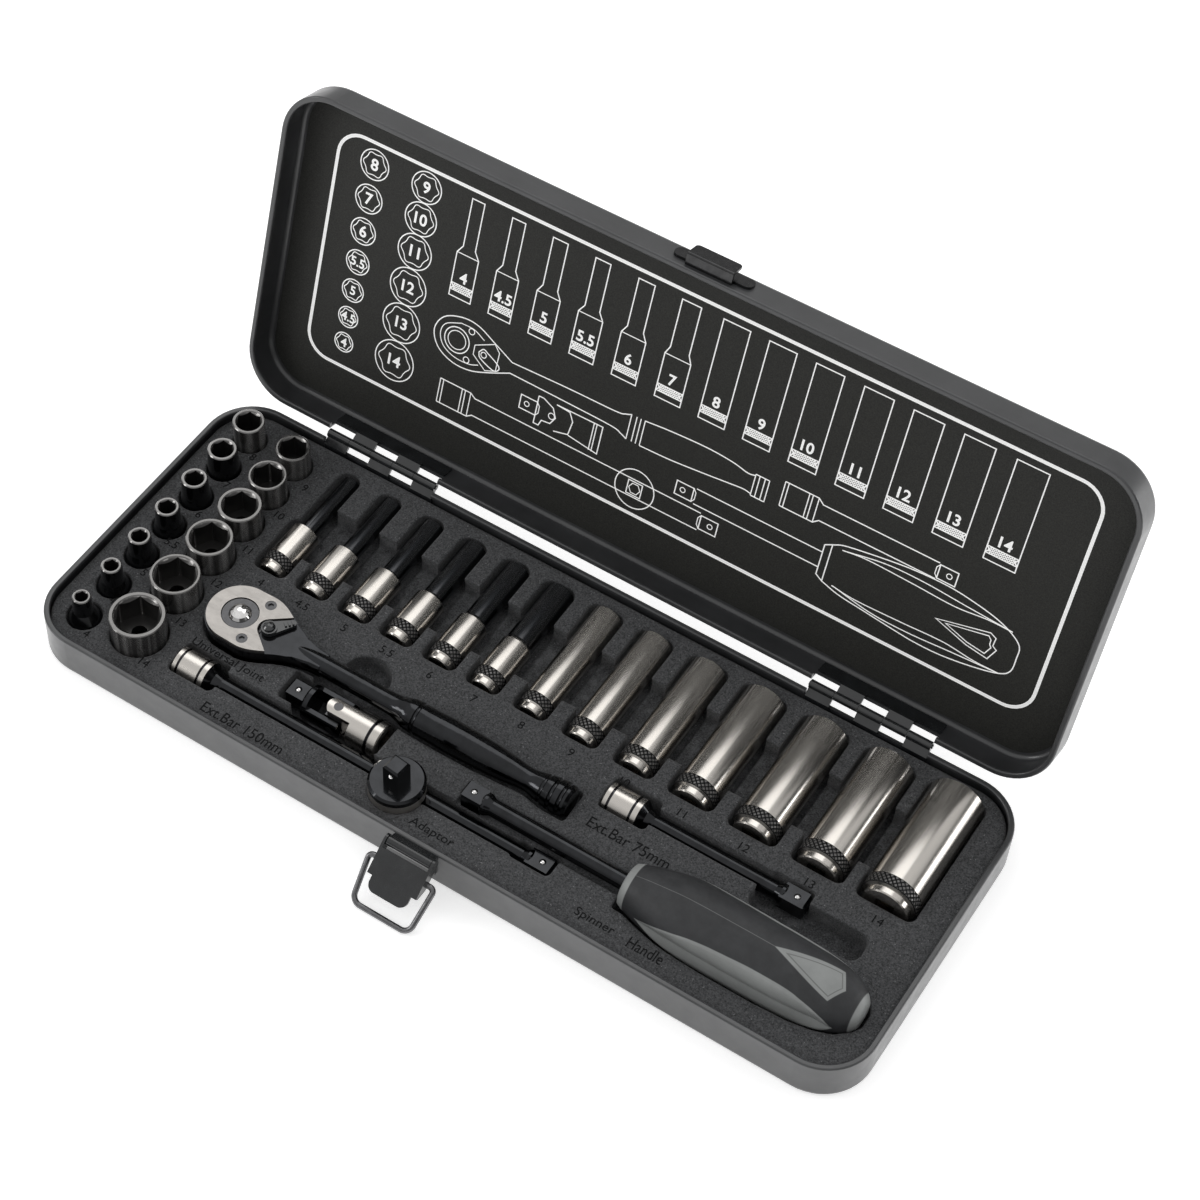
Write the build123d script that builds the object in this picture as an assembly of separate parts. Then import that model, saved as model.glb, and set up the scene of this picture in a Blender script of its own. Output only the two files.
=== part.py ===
"""Socket wrench set in a hinged steel case: 1/4 inch square drive, metric sockets 4 to 14 mm.

Frame: origin at the middle of the base's underside, +X along the case to the right,
+Y towards the hinges, +Z up. The case lies open. All sizes are in millimetres.
"""
import math
import os

from build123d import *

# ---------------------------------------------------------------- case
CASE_LENGTH = 320.0
CASE_WIDTH = 124.0
CORNER_RADIUS = 18.4
SHEET = 0.8                  # steel sheet of both pans
BASE_DEPTH = 17.2
LID_DEPTH = 13.0
PAN_EDGE_RADIUS = 2.5        # pressed radius round each pan's flat face
HEM_WIDTH = 1.3              # edge turned inwards round each rim
HEM_DEPTH = 1.3
HEM_RADIUS = 0.6
LID_GAP = 0.15               # between the two rims when shut
CARD_THICKNESS = 0.3
CARD_INSET = 3.2

# ---------------------------------------------------------------- hinges
LID_OPEN_ANGLE = 107.2
HINGE_Y = CASE_WIDTH / 2 + 1.7
HINGE_Z = BASE_DEPTH + 0.5
HINGE_CENTRES = (-98.5, 98.5)
HINGE_LENGTH = 46.0
KNUCKLES = 5
KNUCKLE_RADIUS = 1.6
KNUCKLE_GAP = 0.15
HINGE_PIN_RADIUS = 0.8
LEAF_THICKNESS = 0.8
HINGE_NOTCH_DEPTH = 3.2      # the rim is cut away this far behind the knuckles
LEAF_LOW_Z = 8.0

# ---------------------------------------------------------------- draw latch
LATCH_X = 2.5
LATCH_WIDTH = 19.0
LATCH_SHEET = 0.9
LATCH_PIVOT_Y = -CASE_WIDTH / 2 - 3.7
LATCH_PIVOT_Z = 17.0
LATCH_ROLL_RADIUS = 1.8
LATCH_PIN_RADIUS = 0.9
BRACKET_HALF_KNUCKLE = 8.3
LEVER_OPEN_ANGLE = 52.0      # the lever hangs this far out of the upright
LEVER_PLATE_LENGTH = 12.0
LEVER_FLANGE_DEPTH = 4.4
LEVER_EAR_RADIUS = 2.1
LEVER_TAB_LENGTH = 5.0
BAIL_WIRE_RADIUS = 1.0
BAIL_PIVOT_DROP = 6.6        # from the lever's pivot down the lever
BAIL_PIVOT_IN = 0.9
BAIL_HALF_WIDTH = 12.6
BAIL_FOOT_HALF_WIDTH = 11.0
BAIL_REACH = 16.8
BAIL_CORNER_RADIUS = 3.4
BAIL_REST_TURN = 2.5         # the bail hangs this much nearer the upright than the lever
KEEPER_LIP_WIDTH = 17.0
KEEPER_WING_WIDTH = 29.0
KEEPER_STAND_OFF = 3.6

# ---------------------------------------------------------------- foam
FOAM_INSET = 2.0
FOAM_TOP = 13.5
FOAM_FLOOR = 1.9             # the deepest pockets end here
GAP = 0.4                    # round a tool in its pocket

# ---------------------------------------------------------------- drive squares
DRIVE_SQUARE = 6.35
DRIVE_LENGTH = 8.2
DRIVE_CHAMFER = 0.7
DRIVE_HOLE = 6.5
DRIVE_HOLE_DEPTH = 9.0
BALL_RADIUS = 1.1
BALL_SEAT_RADIUS = 1.16
BALL_SEAT_INNER = 0.7        # from the drive's axis to the seat's bottom
BALL_STAND_OUT = 0.5
BALL_FROM_TIP = 3.9

# ---------------------------------------------------------------- sockets
# size across flats: (nose diameter, X of the short socket, its Y, X of the deep socket)
SOCKETS = {
    4.0: (6.4, -145.0, -47.2, -104.7),
    4.5: (7.2, -145.0, -31.0, -87.2),
    5.0: (7.9, -145.0, -15.4, -69.6),
    5.5: (8.5, -145.0, 0.2, -52.0),
    6.0: (9.2, -145.0, 15.8, -34.4),
    7.0: (10.5, -145.0, 32.0, -16.7),
    8.0: (11.6, -145.0, 47.6, 2.3),
    9.0: (12.4, -124.7, 46.4, 21.9),
    10.0: (13.7, -124.7, 31.2, 42.7),
    11.0: (15.6, -124.7, 15.0, 64.6),
    12.0: (16.6, -124.7, -2.4, 88.0),
    13.0: (17.6, -124.7, -21.8, 112.2),
    14.0: (19.5, -124.7, -42.8, 137.0),
}
DRIVE_END_DIAMETER = 11.6
SHORT_LENGTH = 22.0
SHORT_FOOT_HEIGHT = 11.0
SHORT_NOSE_HEIGHT = 14.5
HEX_DEPTH = 10.0
DEEP_LENGTH = 50.0
DEEP_DRIVE_Y = 3.9
DEEP_SHOULDER = 21.2
DEEP_SHOULDER_TAPER = 1.6
DEEP_HEX_DEPTH = 20.0
DEEP_AXIS_Z = 10.2
DEEP_COLLAR_LENGTH = 2.4     # the narrower ring at the drive end
DEEP_COLLAR_RATIO = 0.86
KNURL_START = 2.9            # band that the knurling fills
KNURL_END = 6.9
KNURL_SEAT_DEPTH = 0.3
FINGER_CHANNEL_Y = (14.3, 38.4)
FINGER_CHANNEL_Z = 5.6

# ---------------------------------------------------------------- ratchet
RATCHET_X = -98.9
RATCHET_Y = -19.9
HEAD_RADIUS = 12.2
HEAD_BOTTOM_Z = 10.2
HEAD_TOP_Z = 17.8
HEAD_WAIST = ((-89.5, 12.0), (-84.0, 9.7), (-80.0, 7.4), (-74.0, 5.0), (-68.0, 3.9))
HEAD_TAIL = (-64.0, 3.5)
COVER_THICKNESS = 1.1
COVER_EDGE = 0.5             # the cover stops short of the head's edge
COVER_END_X = -82.6
COVER_NOTCH_RADIUS = 4.1
COVER_NOTCH_ANGLE = 38.0
COVER_SCREW_X = -92.1
COVER_SCREW_Y = 8.35
LEVER_HUB_X = -86.7
LEVER_HUB_RADIUS = 2.8
LEVER_ARM_LENGTH = 8.2
LEVER_TIP_RADIUS = 1.3
LEVER_REST_ANGLE = 49.0
GEAR_RADIUS = 7.4
GEAR_TEETH = 36
GEAR_HUB_RADIUS = 6.3
PAWL_GAP = 0.6
BUTTON_RADIUS = 3.9
BUTTON_TRAVEL = 1.5
BUTTON_STEM_RADIUS = 1.4
DRIVE_TIP_Z = 2.1
HANDLE_Z = 15.0
# distance along the handle and radius there
HANDLE_PROFILE = (
    (-80.0, 2.0), (-76.0, 2.6), (-68.0, 3.5), (-60.0, 3.7), (-38.0, 3.8), (-33.0, 4.3), (-29.5, 5.4), (-23.0, 5.6),
    (-14.0, 5.8), (0.0, 5.5), (12.0, 4.6), (18.5, 4.1), (22.5, 4.9), (26.0, 5.6), (33.5, 5.7),
)
HANDLE_END_X = 34.5
HANDLE_GROOVES = (-25.4, -21.4, 24.4, 28.2, 31.8)
HANDLE_GROOVE_RADIUS = 0.8
HANDLE_GROOVE_DEPTH = 0.45

# ---------------------------------------------------------------- extension bars
BAR_Z = 9.5
BAR_SHAFT_RADIUS = 3.0
BAR_SOCKET_RADIUS = 6.0
BAR_SOCKET_LENGTH = 13.0
BAR_TAPER_LENGTH = 3.0
BAR_NECK_RADIUS = 3.9
BAR_GROOVE = 0.9
LONG_BAR = (-108.0, -42.6, 150.0)       # X of the socket end, Y, length
SHORT_BAR = (41.2, -8.2, 75.0)

# ---------------------------------------------------------------- universal joint
UJ_PIVOT_X = -50.0
UJ_Y = -31.2
UJ_Z = 9.5
UJ_RADIUS = 6.4
UJ_ARM_INNER = 4.0
UJ_ARM_HALF_WIDTH = 3.1
UJ_ARM_PAST_PIN = 4.0
UJ_PIN_RADIUS = 1.6
UJ_DRIVE_TIP = 20.4
UJ_DRIVE_BASE = (10.0, 12.4)
UJ_SOCKET_END = 18.0
UJ_SOCKET_BASE = 6.5

# ---------------------------------------------------------------- square adaptor
ADAPTOR_X = -16.3
ADAPTOR_Y = -46.0
ADAPTOR_RADIUS = 9.7
ADAPTOR_HEIGHT = 6.5
ADAPTOR_Z = BAR_Z + BAR_SHAFT_RADIUS + 0.15
ADAPTOR_HOLE = 9.6           # 3/8 inch square
ADAPTOR_HOLE_DEPTH = 5.0
ADAPTOR_TURN = 84.0          # of the square on top

# ---------------------------------------------------------------- spinner handle
SPINNER_Y = -35.7
SPINNER_Z = 15.3
SPINNER_TIP_X = 3.2
SPINNER_SHAFT_END_X = 110.0
# distance along the handle and outer radius there
GRIP_PROFILE = (
    (69.5, 8.6), (76.0, 10.5), (84.0, 12.3), (93.0, 13.1), (104.0, 13.3),
    (121.0, 13.2), (132.0, 12.6), (140.0, 11.2), (146.0, 8.9),
)
COLLAR_X = 65.8
GRIP_WALL = 2.2
CAP_END_X = 151.5

UP = (0, 0, 1)


def cylinder(radius, low, high):
    """Upright cylinder between two heights."""
    return Pos(0, 0, low) * Cylinder(radius, high - low, align=(Align.CENTER, Align.CENTER, Align.MIN))


def block(x, y, z):
    """Box between pairs of coordinates."""
    centre = Pos((x[0] + x[1]) / 2, (y[0] + y[1]) / 2, (z[0] + z[1]) / 2)
    return centre * Box(x[1] - x[0], y[1] - y[0], z[1] - z[0])


def square_bar(side, low, high):
    """Upright square prism about the Z axis."""
    return block((-side / 2, side / 2), (-side / 2, side / 2), (low, high))


def turned(*points):
    """Solid of revolution about Z from (radius, height) points, closed along the axis."""
    outline = [(0, points[0][1]), *points, (0, points[-1][1])]
    face = make_face(Plane.XZ * Polyline(*outline, close=True))
    return revolve(face, Axis.Z)


def turned_smooth(*points):
    """Solid of revolution about Z with one smooth side through (radius, height) points."""
    side = Spline(*points)
    low = Line((0, points[0][1]), points[0])
    high = Line(points[-1], (0, points[-1][1]))
    axis = Line((0, points[-1][1]), (0, points[0][1]))
    return revolve(Plane.XZ * make_face([side, low, high, axis]), Axis.Z)


def along_x(shape):
    """Stand an upright shape's +Z along +X, keeping its +X side facing down."""
    return Rot(0, 90, 0) * shape


def rounded_slab(length, width, radius, low, high):
    """Upright plate with rounded corners."""
    return Pos(0, 0, low) * extrude(RectangleRounded(length, width, radius), high - low)


def inset_slab(inset, low, high):
    """The case's outline, drawn in by an inset and extruded."""
    return rounded_slab(
        CASE_LENGTH - 2 * inset, CASE_WIDTH - 2 * inset, CORNER_RADIUS - inset, low, high
    )


def side_prism(points, x_low, x_high):
    """Prism along X with an outline of (y, z) points."""
    face = make_face(Plane.YZ * Polyline(*points, close=True))
    return Pos(x_low, 0, 0) * extrude(face, x_high - x_low, dir=(1, 0, 0))


# ---------------------------------------------------------------- case
def pan(depth):
    """Pressed steel pan, open at the top, with a hem turned inwards round its rim."""
    outer = inset_slab(0, 0, depth)
    outer = fillet(outer.faces().sort_by(Axis.Z)[0].edges(), PAN_EDGE_RADIUS)
    inner = inset_slab(SHEET, SHEET, depth + 1)
    inner = fillet(inner.faces().sort_by(Axis.Z)[0].edges(), PAN_EDGE_RADIUS - SHEET)
    hem_outer = inset_slab(SHEET / 2, depth - HEM_DEPTH, depth)
    hem_inner = inset_slab(SHEET + HEM_WIDTH, depth - HEM_DEPTH - 1, depth + 1)
    shell = outer - inner + (hem_outer - hem_inner)
    rim_edges = shell.faces().sort_by(Axis.Z)[-1].edges()
    return fillet(rim_edges, HEM_RADIUS)


def hinge_notches(low, high):
    """The parts of the rear rim that are cut away at both hinges."""
    rear = (CASE_WIDTH / 2 - SHEET - HEM_WIDTH - 0.2, CASE_WIDTH / 2 + 1)
    half = HINGE_LENGTH / 2 + KNUCKLE_GAP
    return [block((x - half, x + half), rear, (low, high)) for x in HINGE_CENTRES]


def over_rim(shape):
    """Turn an upright pan over and set it on the base's rim, as the shut lid."""
    return Pos(0, 0, BASE_DEPTH + LID_GAP + LID_DEPTH) * Rot(180, 0, 0) * shape


def opened(shape):
    """Swing a piece of the shut lid to where it rests open."""
    return shape.rotate(Axis((0, HINGE_Y, HINGE_Z), (1, 0, 0)), -LID_OPEN_ANGLE)


def base_shell():
    return pan(BASE_DEPTH) - hinge_notches(BASE_DEPTH - HINGE_NOTCH_DEPTH, BASE_DEPTH + 1)


def lid_shell():
    notch_top = 2 * HINGE_Z - (BASE_DEPTH - HINGE_NOTCH_DEPTH)
    return opened(over_rim(pan(LID_DEPTH)) - hinge_notches(BASE_DEPTH, notch_top))


def lid_card():
    """Printed card that lines the inside of the lid."""
    top = BASE_DEPTH + LID_GAP + LID_DEPTH - SHEET
    return opened(inset_slab(CARD_INSET, top - CARD_THICKNESS, top))


# ---------------------------------------------------------------- hinges
def knuckle_spans(first):
    """X spans of every second knuckle of both hinges, starting with the given one."""
    step = HINGE_LENGTH / KNUCKLES
    for centre in HINGE_CENTRES:
        for number in range(first, KNUCKLES, 2):
            low = centre - HINGE_LENGTH / 2 + number * step
            yield low + KNUCKLE_GAP / 2, low + step - KNUCKLE_GAP / 2


def hinge_leaves(first, bore):
    """Leaf strips inside the rear wall, with tabs that reach out to their knuckles."""
    inner = CASE_WIDTH / 2 - SHEET
    back = inner - LEAF_THICKNESS
    foot = BASE_DEPTH - HINGE_NOTCH_DEPTH
    tab = (
        (back, foot - 1), (inner, foot - 1), (inner, foot + 0.05),
        (HINGE_Y + 0.6, HINGE_Z - 1.1), (HINGE_Y - 0.6, HINGE_Z - 0.4), (back, foot + 0.7),
    )
    leaves = []
    for centre in HINGE_CENTRES:
        half = HINGE_LENGTH / 2
        leaf = block((centre - half, centre + half), (back, inner), (LEAF_LOW_Z, foot - 0.5))
        for low, high in knuckle_spans(first):
            if abs((low + high) / 2 - centre) > half:
                continue
            knuckle = along_x(cylinder(KNUCKLE_RADIUS, low, high))
            leaf += Pos(0, HINGE_Y, HINGE_Z) * knuckle + side_prism(tab, low, high)
        hole = along_x(cylinder(bore, centre - half - 1, centre + half + 1))
        leaves.append(leaf - Pos(0, HINGE_Y, HINGE_Z) * hole)
    return leaves


def hinge_base_leaves():
    return Compound(hinge_leaves(0, HINGE_PIN_RADIUS + 0.01))


def hinge_lid_leaves():
    """The same leaves, mirrored about the hinge axis's level and opened with the lid."""
    level = Plane((0, 0, HINGE_Z), z_dir=UP)
    low_leaves = hinge_leaves(1, HINGE_PIN_RADIUS + 0.06)
    return Compound([opened(leaf.mirror(level)) for leaf in low_leaves])


def hinge_pins():
    pins = []
    for centre in HINGE_CENTRES:
        half = HINGE_LENGTH / 2 + 0.3
        pin = along_x(cylinder(HINGE_PIN_RADIUS, centre - half, centre + half))
        pins.append(Pos(0, HINGE_Y, HINGE_Z) * pin)
    return Compound(pins)


# ---------------------------------------------------------------- draw latch
def at_latch(shape):
    return Pos(LATCH_X, LATCH_PIVOT_Y, LATCH_PIVOT_Z) * shape


def swung_out(shape):
    """Swing a latch piece out from upright about the lever's pivot."""
    return shape.rotate(Axis.X, -LEVER_OPEN_ANGLE)


def latch_bracket():
    """Plate on the front wall, folded out into the knuckle of the lever's pivot."""
    wall = -CASE_WIDTH / 2 - LATCH_PIVOT_Y
    half = LATCH_WIDTH / 2 - 2.0
    plate = block((-half, half), (wall - 1.0, wall), (-10.5, -0.6))
    web = side_prism(
        ((wall - 1.0, -1.4), (wall, -1.4), (wall, 0), (1.0, 1.3), (0, 1.0), (1.0, -1.4)),
        -BRACKET_HALF_KNUCKLE, BRACKET_HALF_KNUCKLE,
    )
    knuckle = along_x(cylinder(LATCH_ROLL_RADIUS, -BRACKET_HALF_KNUCKLE, BRACKET_HALF_KNUCKLE))
    hole = along_x(cylinder(LATCH_PIN_RADIUS + 0.01, -10, 10))
    return at_latch(plate + web + knuckle - hole)


def latch_lever():
    """Folded lever: two side flanges with ears on the pivot pin, a plate and a thumb tab."""
    half = LATCH_WIDTH / 2
    outer = -LEVER_EAR_RADIUS
    inner = outer + LATCH_SHEET
    flange_edge = outer + LEVER_FLANGE_DEPTH
    lever = block((-half, half), (outer, inner), (-LEVER_PLATE_LENGTH, -2.5))
    flange = (
        (outer, 0), (outer, -LEVER_PLATE_LENGTH), (inner + 0.6, -LEVER_PLATE_LENGTH),
        (flange_edge, -BAIL_PIVOT_DROP - 2.0), (flange_edge, -BAIL_PIVOT_DROP + 1.6),
        (LEVER_EAR_RADIUS, 0),
    )
    for sign in (-1, 1):
        x = sorted((sign * half, sign * (half - LATCH_SHEET)))
        lever += side_prism(flange, *x) + along_x(cylinder(LEVER_EAR_RADIUS, *x))
    tab_half = half - 2.0
    tab = block((-tab_half, tab_half), (outer, inner), (-LEVER_PLATE_LENGTH - LEVER_TAB_LENGTH, -11))
    tab = fillet(tab.edges().filter_by(Axis.Y).sort_by(Axis.Z)[:2], 3.0)
    lever += tab
    pin_hole = along_x(cylinder(LATCH_PIN_RADIUS + 0.05, -half - 1, half + 1))
    bail_hole = Pos(0, BAIL_PIVOT_IN, -BAIL_PIVOT_DROP) * along_x(
        cylinder(BAIL_WIRE_RADIUS + 0.06, -half - 1, half + 1)
    )
    return at_latch(swung_out(lever - pin_hole - bail_hole))


def latch_lever_pin():
    half = LATCH_WIDTH / 2
    return at_latch(along_x(cylinder(LATCH_PIN_RADIUS, -half, half)))


def latch_bail():
    """Wire loop that hooks over the keeper, with its ends turned into the lever's flanges."""
    end = LATCH_WIDTH / 2 - 1.8
    side = BAIL_HALF_WIDTH
    foot = BAIL_FOOT_HALF_WIDTH
    route = FilletPolyline(
        (-end, 0, 0), (-side, 0, 0), (-foot, 0, -BAIL_REACH),
        (foot, 0, -BAIL_REACH), (side, 0, 0), (end, 0, 0),
        radius=[1.6, BAIL_CORNER_RADIUS, BAIL_CORNER_RADIUS, 1.6],
    )
    section = Plane(origin=(-end, 0, 0), z_dir=(-1, 0, 0)) * Circle(BAIL_WIRE_RADIUS)
    wire = Rot(BAIL_REST_TURN, 0, 0) * sweep(section, path=route)
    return at_latch(swung_out(Pos(0, BAIL_PIVOT_IN, -BAIL_PIVOT_DROP) * wire))


def latch_keeper():
    """Plate with a raised lip on the lid's front wall, which the bail hooks over."""
    wall = -CASE_WIDTH / 2
    rim = BASE_DEPTH + LID_GAP
    wing = KEEPER_WING_WIDTH / 2
    lip = KEEPER_LIP_WIDTH / 2
    plate = block((-wing, wing), (wall - LATCH_SHEET, wall), (rim + 3.6, rim + 9.4))
    plate = fillet(plate.edges().filter_by(Axis.Y), 2.4)
    outer = wall - LATCH_SHEET - KEEPER_STAND_OFF
    low = rim + 2.0
    root = block((-lip, lip), (wall - LATCH_SHEET, wall), (low, rim + 4.6))
    riser = block((-lip, lip), (outer, wall), (low, low + LATCH_SHEET))
    face = block((-lip, lip), (outer, outer + LATCH_SHEET), (low, rim + 8.8))
    face = fillet(face.edges().filter_by(Axis.Y).sort_by(Axis.Z)[-2:], 1.5)
    keeper = plate + root + riser + face
    fold = keeper.edges().filter_by(Axis.X).filter_by_position(Axis.Y, outer - 0.1, outer + 0.1)
    keeper = fillet(fold.sort_by(Axis.Z)[0], LATCH_SHEET * 0.8)
    return opened(Pos(LATCH_X, 0, 0) * keeper)


# ---------------------------------------------------------------- sockets
def hexagon_hole(size, low, high):
    """Six-sided hole with its mouth at the upper end, opened by a shallow cone."""
    hexagon = RegularPolygon(size / 2, 6, major_radius=False)
    mouth = size * 0.60
    lead = turned((size / 2 - 0.2, high - (mouth - size / 2) - 0.2), (mouth, high), (mouth, high + 1))
    return Pos(0, 0, low) * extrude(hexagon, high - low + 1) + lead


def bored_socket(body, size, length, hex_depth):
    """Cut the drive square, the hexagon and the bore between them."""
    bore = cylinder(min(size * 0.42, 2.8), 1, length - 1)
    drive = square_bar(DRIVE_HOLE, -1, DRIVE_HOLE_DEPTH)
    return body - drive - bore - hexagon_hole(size, length - hex_depth, length)


def short_socket(size):
    """Socket standing on its drive end, with a narrower nose on the small sizes."""
    nose, x, y, _ = SOCKETS[size]
    if nose < DRIVE_END_DIAMETER:
        foot = DRIVE_END_DIAMETER / 2
        profile = (
            (foot - 0.4, 0), (foot, 0.4), (foot, SHORT_FOOT_HEIGHT),
            (nose / 2 + 0.5, SHORT_NOSE_HEIGHT), (nose / 2, SHORT_LENGTH - 0.3),
            (nose / 2 - 0.3, SHORT_LENGTH),
        )
    else:
        radius = nose / 2
        profile = (
            (radius - 0.5, 0), (radius, 0.5), (radius, SHORT_LENGTH - 0.3),
            (radius - 0.3, SHORT_LENGTH),
        )
    socket = bored_socket(turned(*profile), size, SHORT_LENGTH, HEX_DEPTH)
    return Pos(x, y, FOAM_FLOOR) * socket


def deep_axis_z(size):
    """Height of a deep socket's axis: the large ones lie just clear of the pocket floor."""
    return max(DEEP_AXIS_Z, FOAM_FLOOR + 0.15 + deep_radius(size))


def deep_radius(size):
    return max(SOCKETS[size][0], DRIVE_END_DIAMETER) / 2


def deep_socket(size):
    """Deep socket lying along Y with its drive end to the front."""
    nose, _, _, x = SOCKETS[size]
    radius = deep_radius(size)
    collar = radius * DEEP_COLLAR_RATIO
    band = radius - KNURL_SEAT_DEPTH
    profile = [
        (collar - 0.4, 0), (collar, 0.4), (collar, DEEP_COLLAR_LENGTH),
        (band, KNURL_START), (band, KNURL_END), (radius, KNURL_END),
    ]
    if nose < DRIVE_END_DIAMETER:
        profile += [(radius, DEEP_SHOULDER), (nose / 2, DEEP_SHOULDER + DEEP_SHOULDER_TAPER)]
    profile += [(nose / 2, DEEP_LENGTH - 0.3), (nose / 2 - 0.3, DEEP_LENGTH)]
    socket = bored_socket(turned(*profile), size, DEEP_LENGTH, DEEP_HEX_DEPTH)
    return Pos(x, DEEP_DRIVE_Y, deep_axis_z(size)) * Rot(-90, 0, 0) * socket


# ---------------------------------------------------------------- drive squares
def drive_tip(length):
    """Square drive with its tip at z = 0 and a ball seat in its -X side, body above."""
    square = square_bar(DRIVE_SQUARE, 0, length)
    square = chamfer(square.faces().sort_by(Axis.Z)[0].edges(), DRIVE_CHAMFER)
    seat = Pos(0, 0, BALL_FROM_TIP) * Rot(0, -90, 0) * cylinder(BALL_SEAT_RADIUS, BALL_SEAT_INNER, DRIVE_SQUARE)
    return square - seat


def drive_ball():
    """Detent ball in the seat of a drive tip."""
    centre = BALL_RADIUS - BALL_STAND_OUT - DRIVE_SQUARE / 2
    return Pos(centre, 0, BALL_FROM_TIP) * Sphere(BALL_RADIUS)


def tip_to_the_right(shape):
    """Lay an upright drive tip along X, its tip to +X and its ball side up."""
    return Rot(180, 0, 0) * Rot(0, -90, 0) * shape


def tip_to_the_left(shape):
    """Lay an upright drive tip along X, its tip to -X and its ball side up."""
    return Rot(0, 90, 0) * shape


# ---------------------------------------------------------------- extension bars
def extension_bar(bar):
    """Socket end on the left, round shaft, square drive on the right."""
    x, y, length = bar
    shaft_start = BAR_SOCKET_LENGTH + BAR_TAPER_LENGTH
    shaft_end = length - DRIVE_LENGTH - 3
    groove = BAR_SOCKET_RADIUS - 0.4
    profile = [(BAR_SOCKET_RADIUS - 0.4, 0), (BAR_SOCKET_RADIUS, 0.4)]
    for start in (1.8, BAR_SOCKET_LENGTH - 2.8):
        profile += [
            (BAR_SOCKET_RADIUS, start), (groove, start),
            (groove, start + BAR_GROOVE), (BAR_SOCKET_RADIUS, start + BAR_GROOVE),
        ]
    profile += [
        (BAR_SOCKET_RADIUS, BAR_SOCKET_LENGTH), (BAR_NECK_RADIUS, shaft_start - 0.8),
        (BAR_SHAFT_RADIUS, shaft_start + 2), (BAR_SHAFT_RADIUS, shaft_end),
        (BAR_NECK_RADIUS, shaft_end + 2), (BAR_NECK_RADIUS, shaft_end + 3),
        (BAR_SHAFT_RADIUS, shaft_end + 3.6),
    ]
    upright = turned(*profile) - square_bar(DRIVE_HOLE, -1, DRIVE_HOLE_DEPTH)
    tip = Pos(length, 0, 0) * tip_to_the_right(drive_tip(DRIVE_LENGTH + 1))
    return Pos(x, y, BAR_Z) * (along_x(upright) + tip)


def extension_bar_ball(bar):
    x, y, length = bar
    return Pos(x + length, y, BAR_Z) * tip_to_the_right(drive_ball())


# ---------------------------------------------------------------- universal joint
def at_joint(shape):
    return Pos(UJ_PIVOT_X, UJ_Y, UJ_Z) * shape


def yoke(base, *profile):
    """Turned body cut back to two arms, above and below the pivot, on the -X side of its base."""
    wide = 2 * UJ_RADIUS
    body = along_x(turned((UJ_RADIUS, -UJ_ARM_PAST_PIN), *profile))
    body -= block((-wide, base), (-wide, wide), (-UJ_ARM_INNER, UJ_ARM_INNER))
    body -= block((-wide, base), (UJ_ARM_HALF_WIDTH, wide), (-wide, wide))
    body -= block((-wide, base), (-wide, -UJ_ARM_HALF_WIDTH), (-wide, wide))
    arm_ends = block((-wide, 0), (-wide, wide), (-wide, wide))
    arm_ends -= cylinder(UJ_ARM_PAST_PIN, -wide, wide)
    return body - arm_ends - cylinder(UJ_PIN_RADIUS + 0.06, -wide, wide)


def universal_joint_socket_yoke():
    groove = UJ_RADIUS - 0.4
    body = yoke(
        UJ_SOCKET_BASE,
        (UJ_RADIUS, UJ_SOCKET_END - 4.0), (groove, UJ_SOCKET_END - 4.0),
        (groove, UJ_SOCKET_END - 3.0), (UJ_RADIUS, UJ_SOCKET_END - 3.0),
        (UJ_RADIUS, UJ_SOCKET_END - 0.4), (groove, UJ_SOCKET_END),
    )
    hole = along_x(square_bar(DRIVE_HOLE, UJ_SOCKET_END - DRIVE_HOLE_DEPTH, UJ_SOCKET_END + 1))
    return at_joint(body - hole)


def universal_joint_cross():
    """Block with two crossing pins, one for each yoke."""
    core = Box(6.8, 6.8, 6.8)
    length = UJ_RADIUS - 0.2
    upright = cylinder(UJ_PIN_RADIUS, -length, length)
    return at_joint(core + upright + Rot(90, 0, 0) * upright)


def universal_joint_drive_yoke():
    """Arms to the front and back of the cross, and the square drive on the left."""
    near, far = UJ_DRIVE_BASE
    body = yoke(near, (UJ_RADIUS, far - 0.8), (UJ_RADIUS - 0.8, far))
    tip = Pos(-UJ_DRIVE_TIP, 0, 0) * tip_to_the_left(drive_tip(UJ_DRIVE_TIP - near - 1))
    return at_joint(Rot(0, 0, 180) * Rot(90, 0, 0) * body + tip)


def universal_joint_ball():
    return at_joint(Pos(-UJ_DRIVE_TIP, 0, 0) * tip_to_the_left(drive_ball()))


# ---------------------------------------------------------------- square adaptor
def at_adaptor(shape):
    return Pos(ADAPTOR_X, ADAPTOR_Y, ADAPTOR_Z) * shape


def adaptor_on_top(shape):
    """Set an upright drive tip pointing up out of the adaptor's disc, ball to the front."""
    top = ADAPTOR_HEIGHT + DRIVE_LENGTH
    return Pos(0, 0, top) * Rot(0, 0, ADAPTOR_TURN) * Rot(180, 0, 0) * shape


def adaptor_disc():
    disc = turned(
        (ADAPTOR_RADIUS - 0.6, 0), (ADAPTOR_RADIUS, 0.6), (ADAPTOR_RADIUS, ADAPTOR_HEIGHT - 0.8),
        (ADAPTOR_RADIUS - 0.8, ADAPTOR_HEIGHT),
    )
    hole = square_bar(ADAPTOR_HOLE, -1, ADAPTOR_HOLE_DEPTH)
    return at_adaptor(disc - hole + adaptor_on_top(drive_tip(DRIVE_LENGTH + 0.5)))


def adaptor_ball():
    return at_adaptor(adaptor_on_top(drive_ball()))


# ---------------------------------------------------------------- spinner handle
def at_spinner(shape):
    return Pos(0, SPINNER_Y, SPINNER_Z) * along_x(shape)


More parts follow.
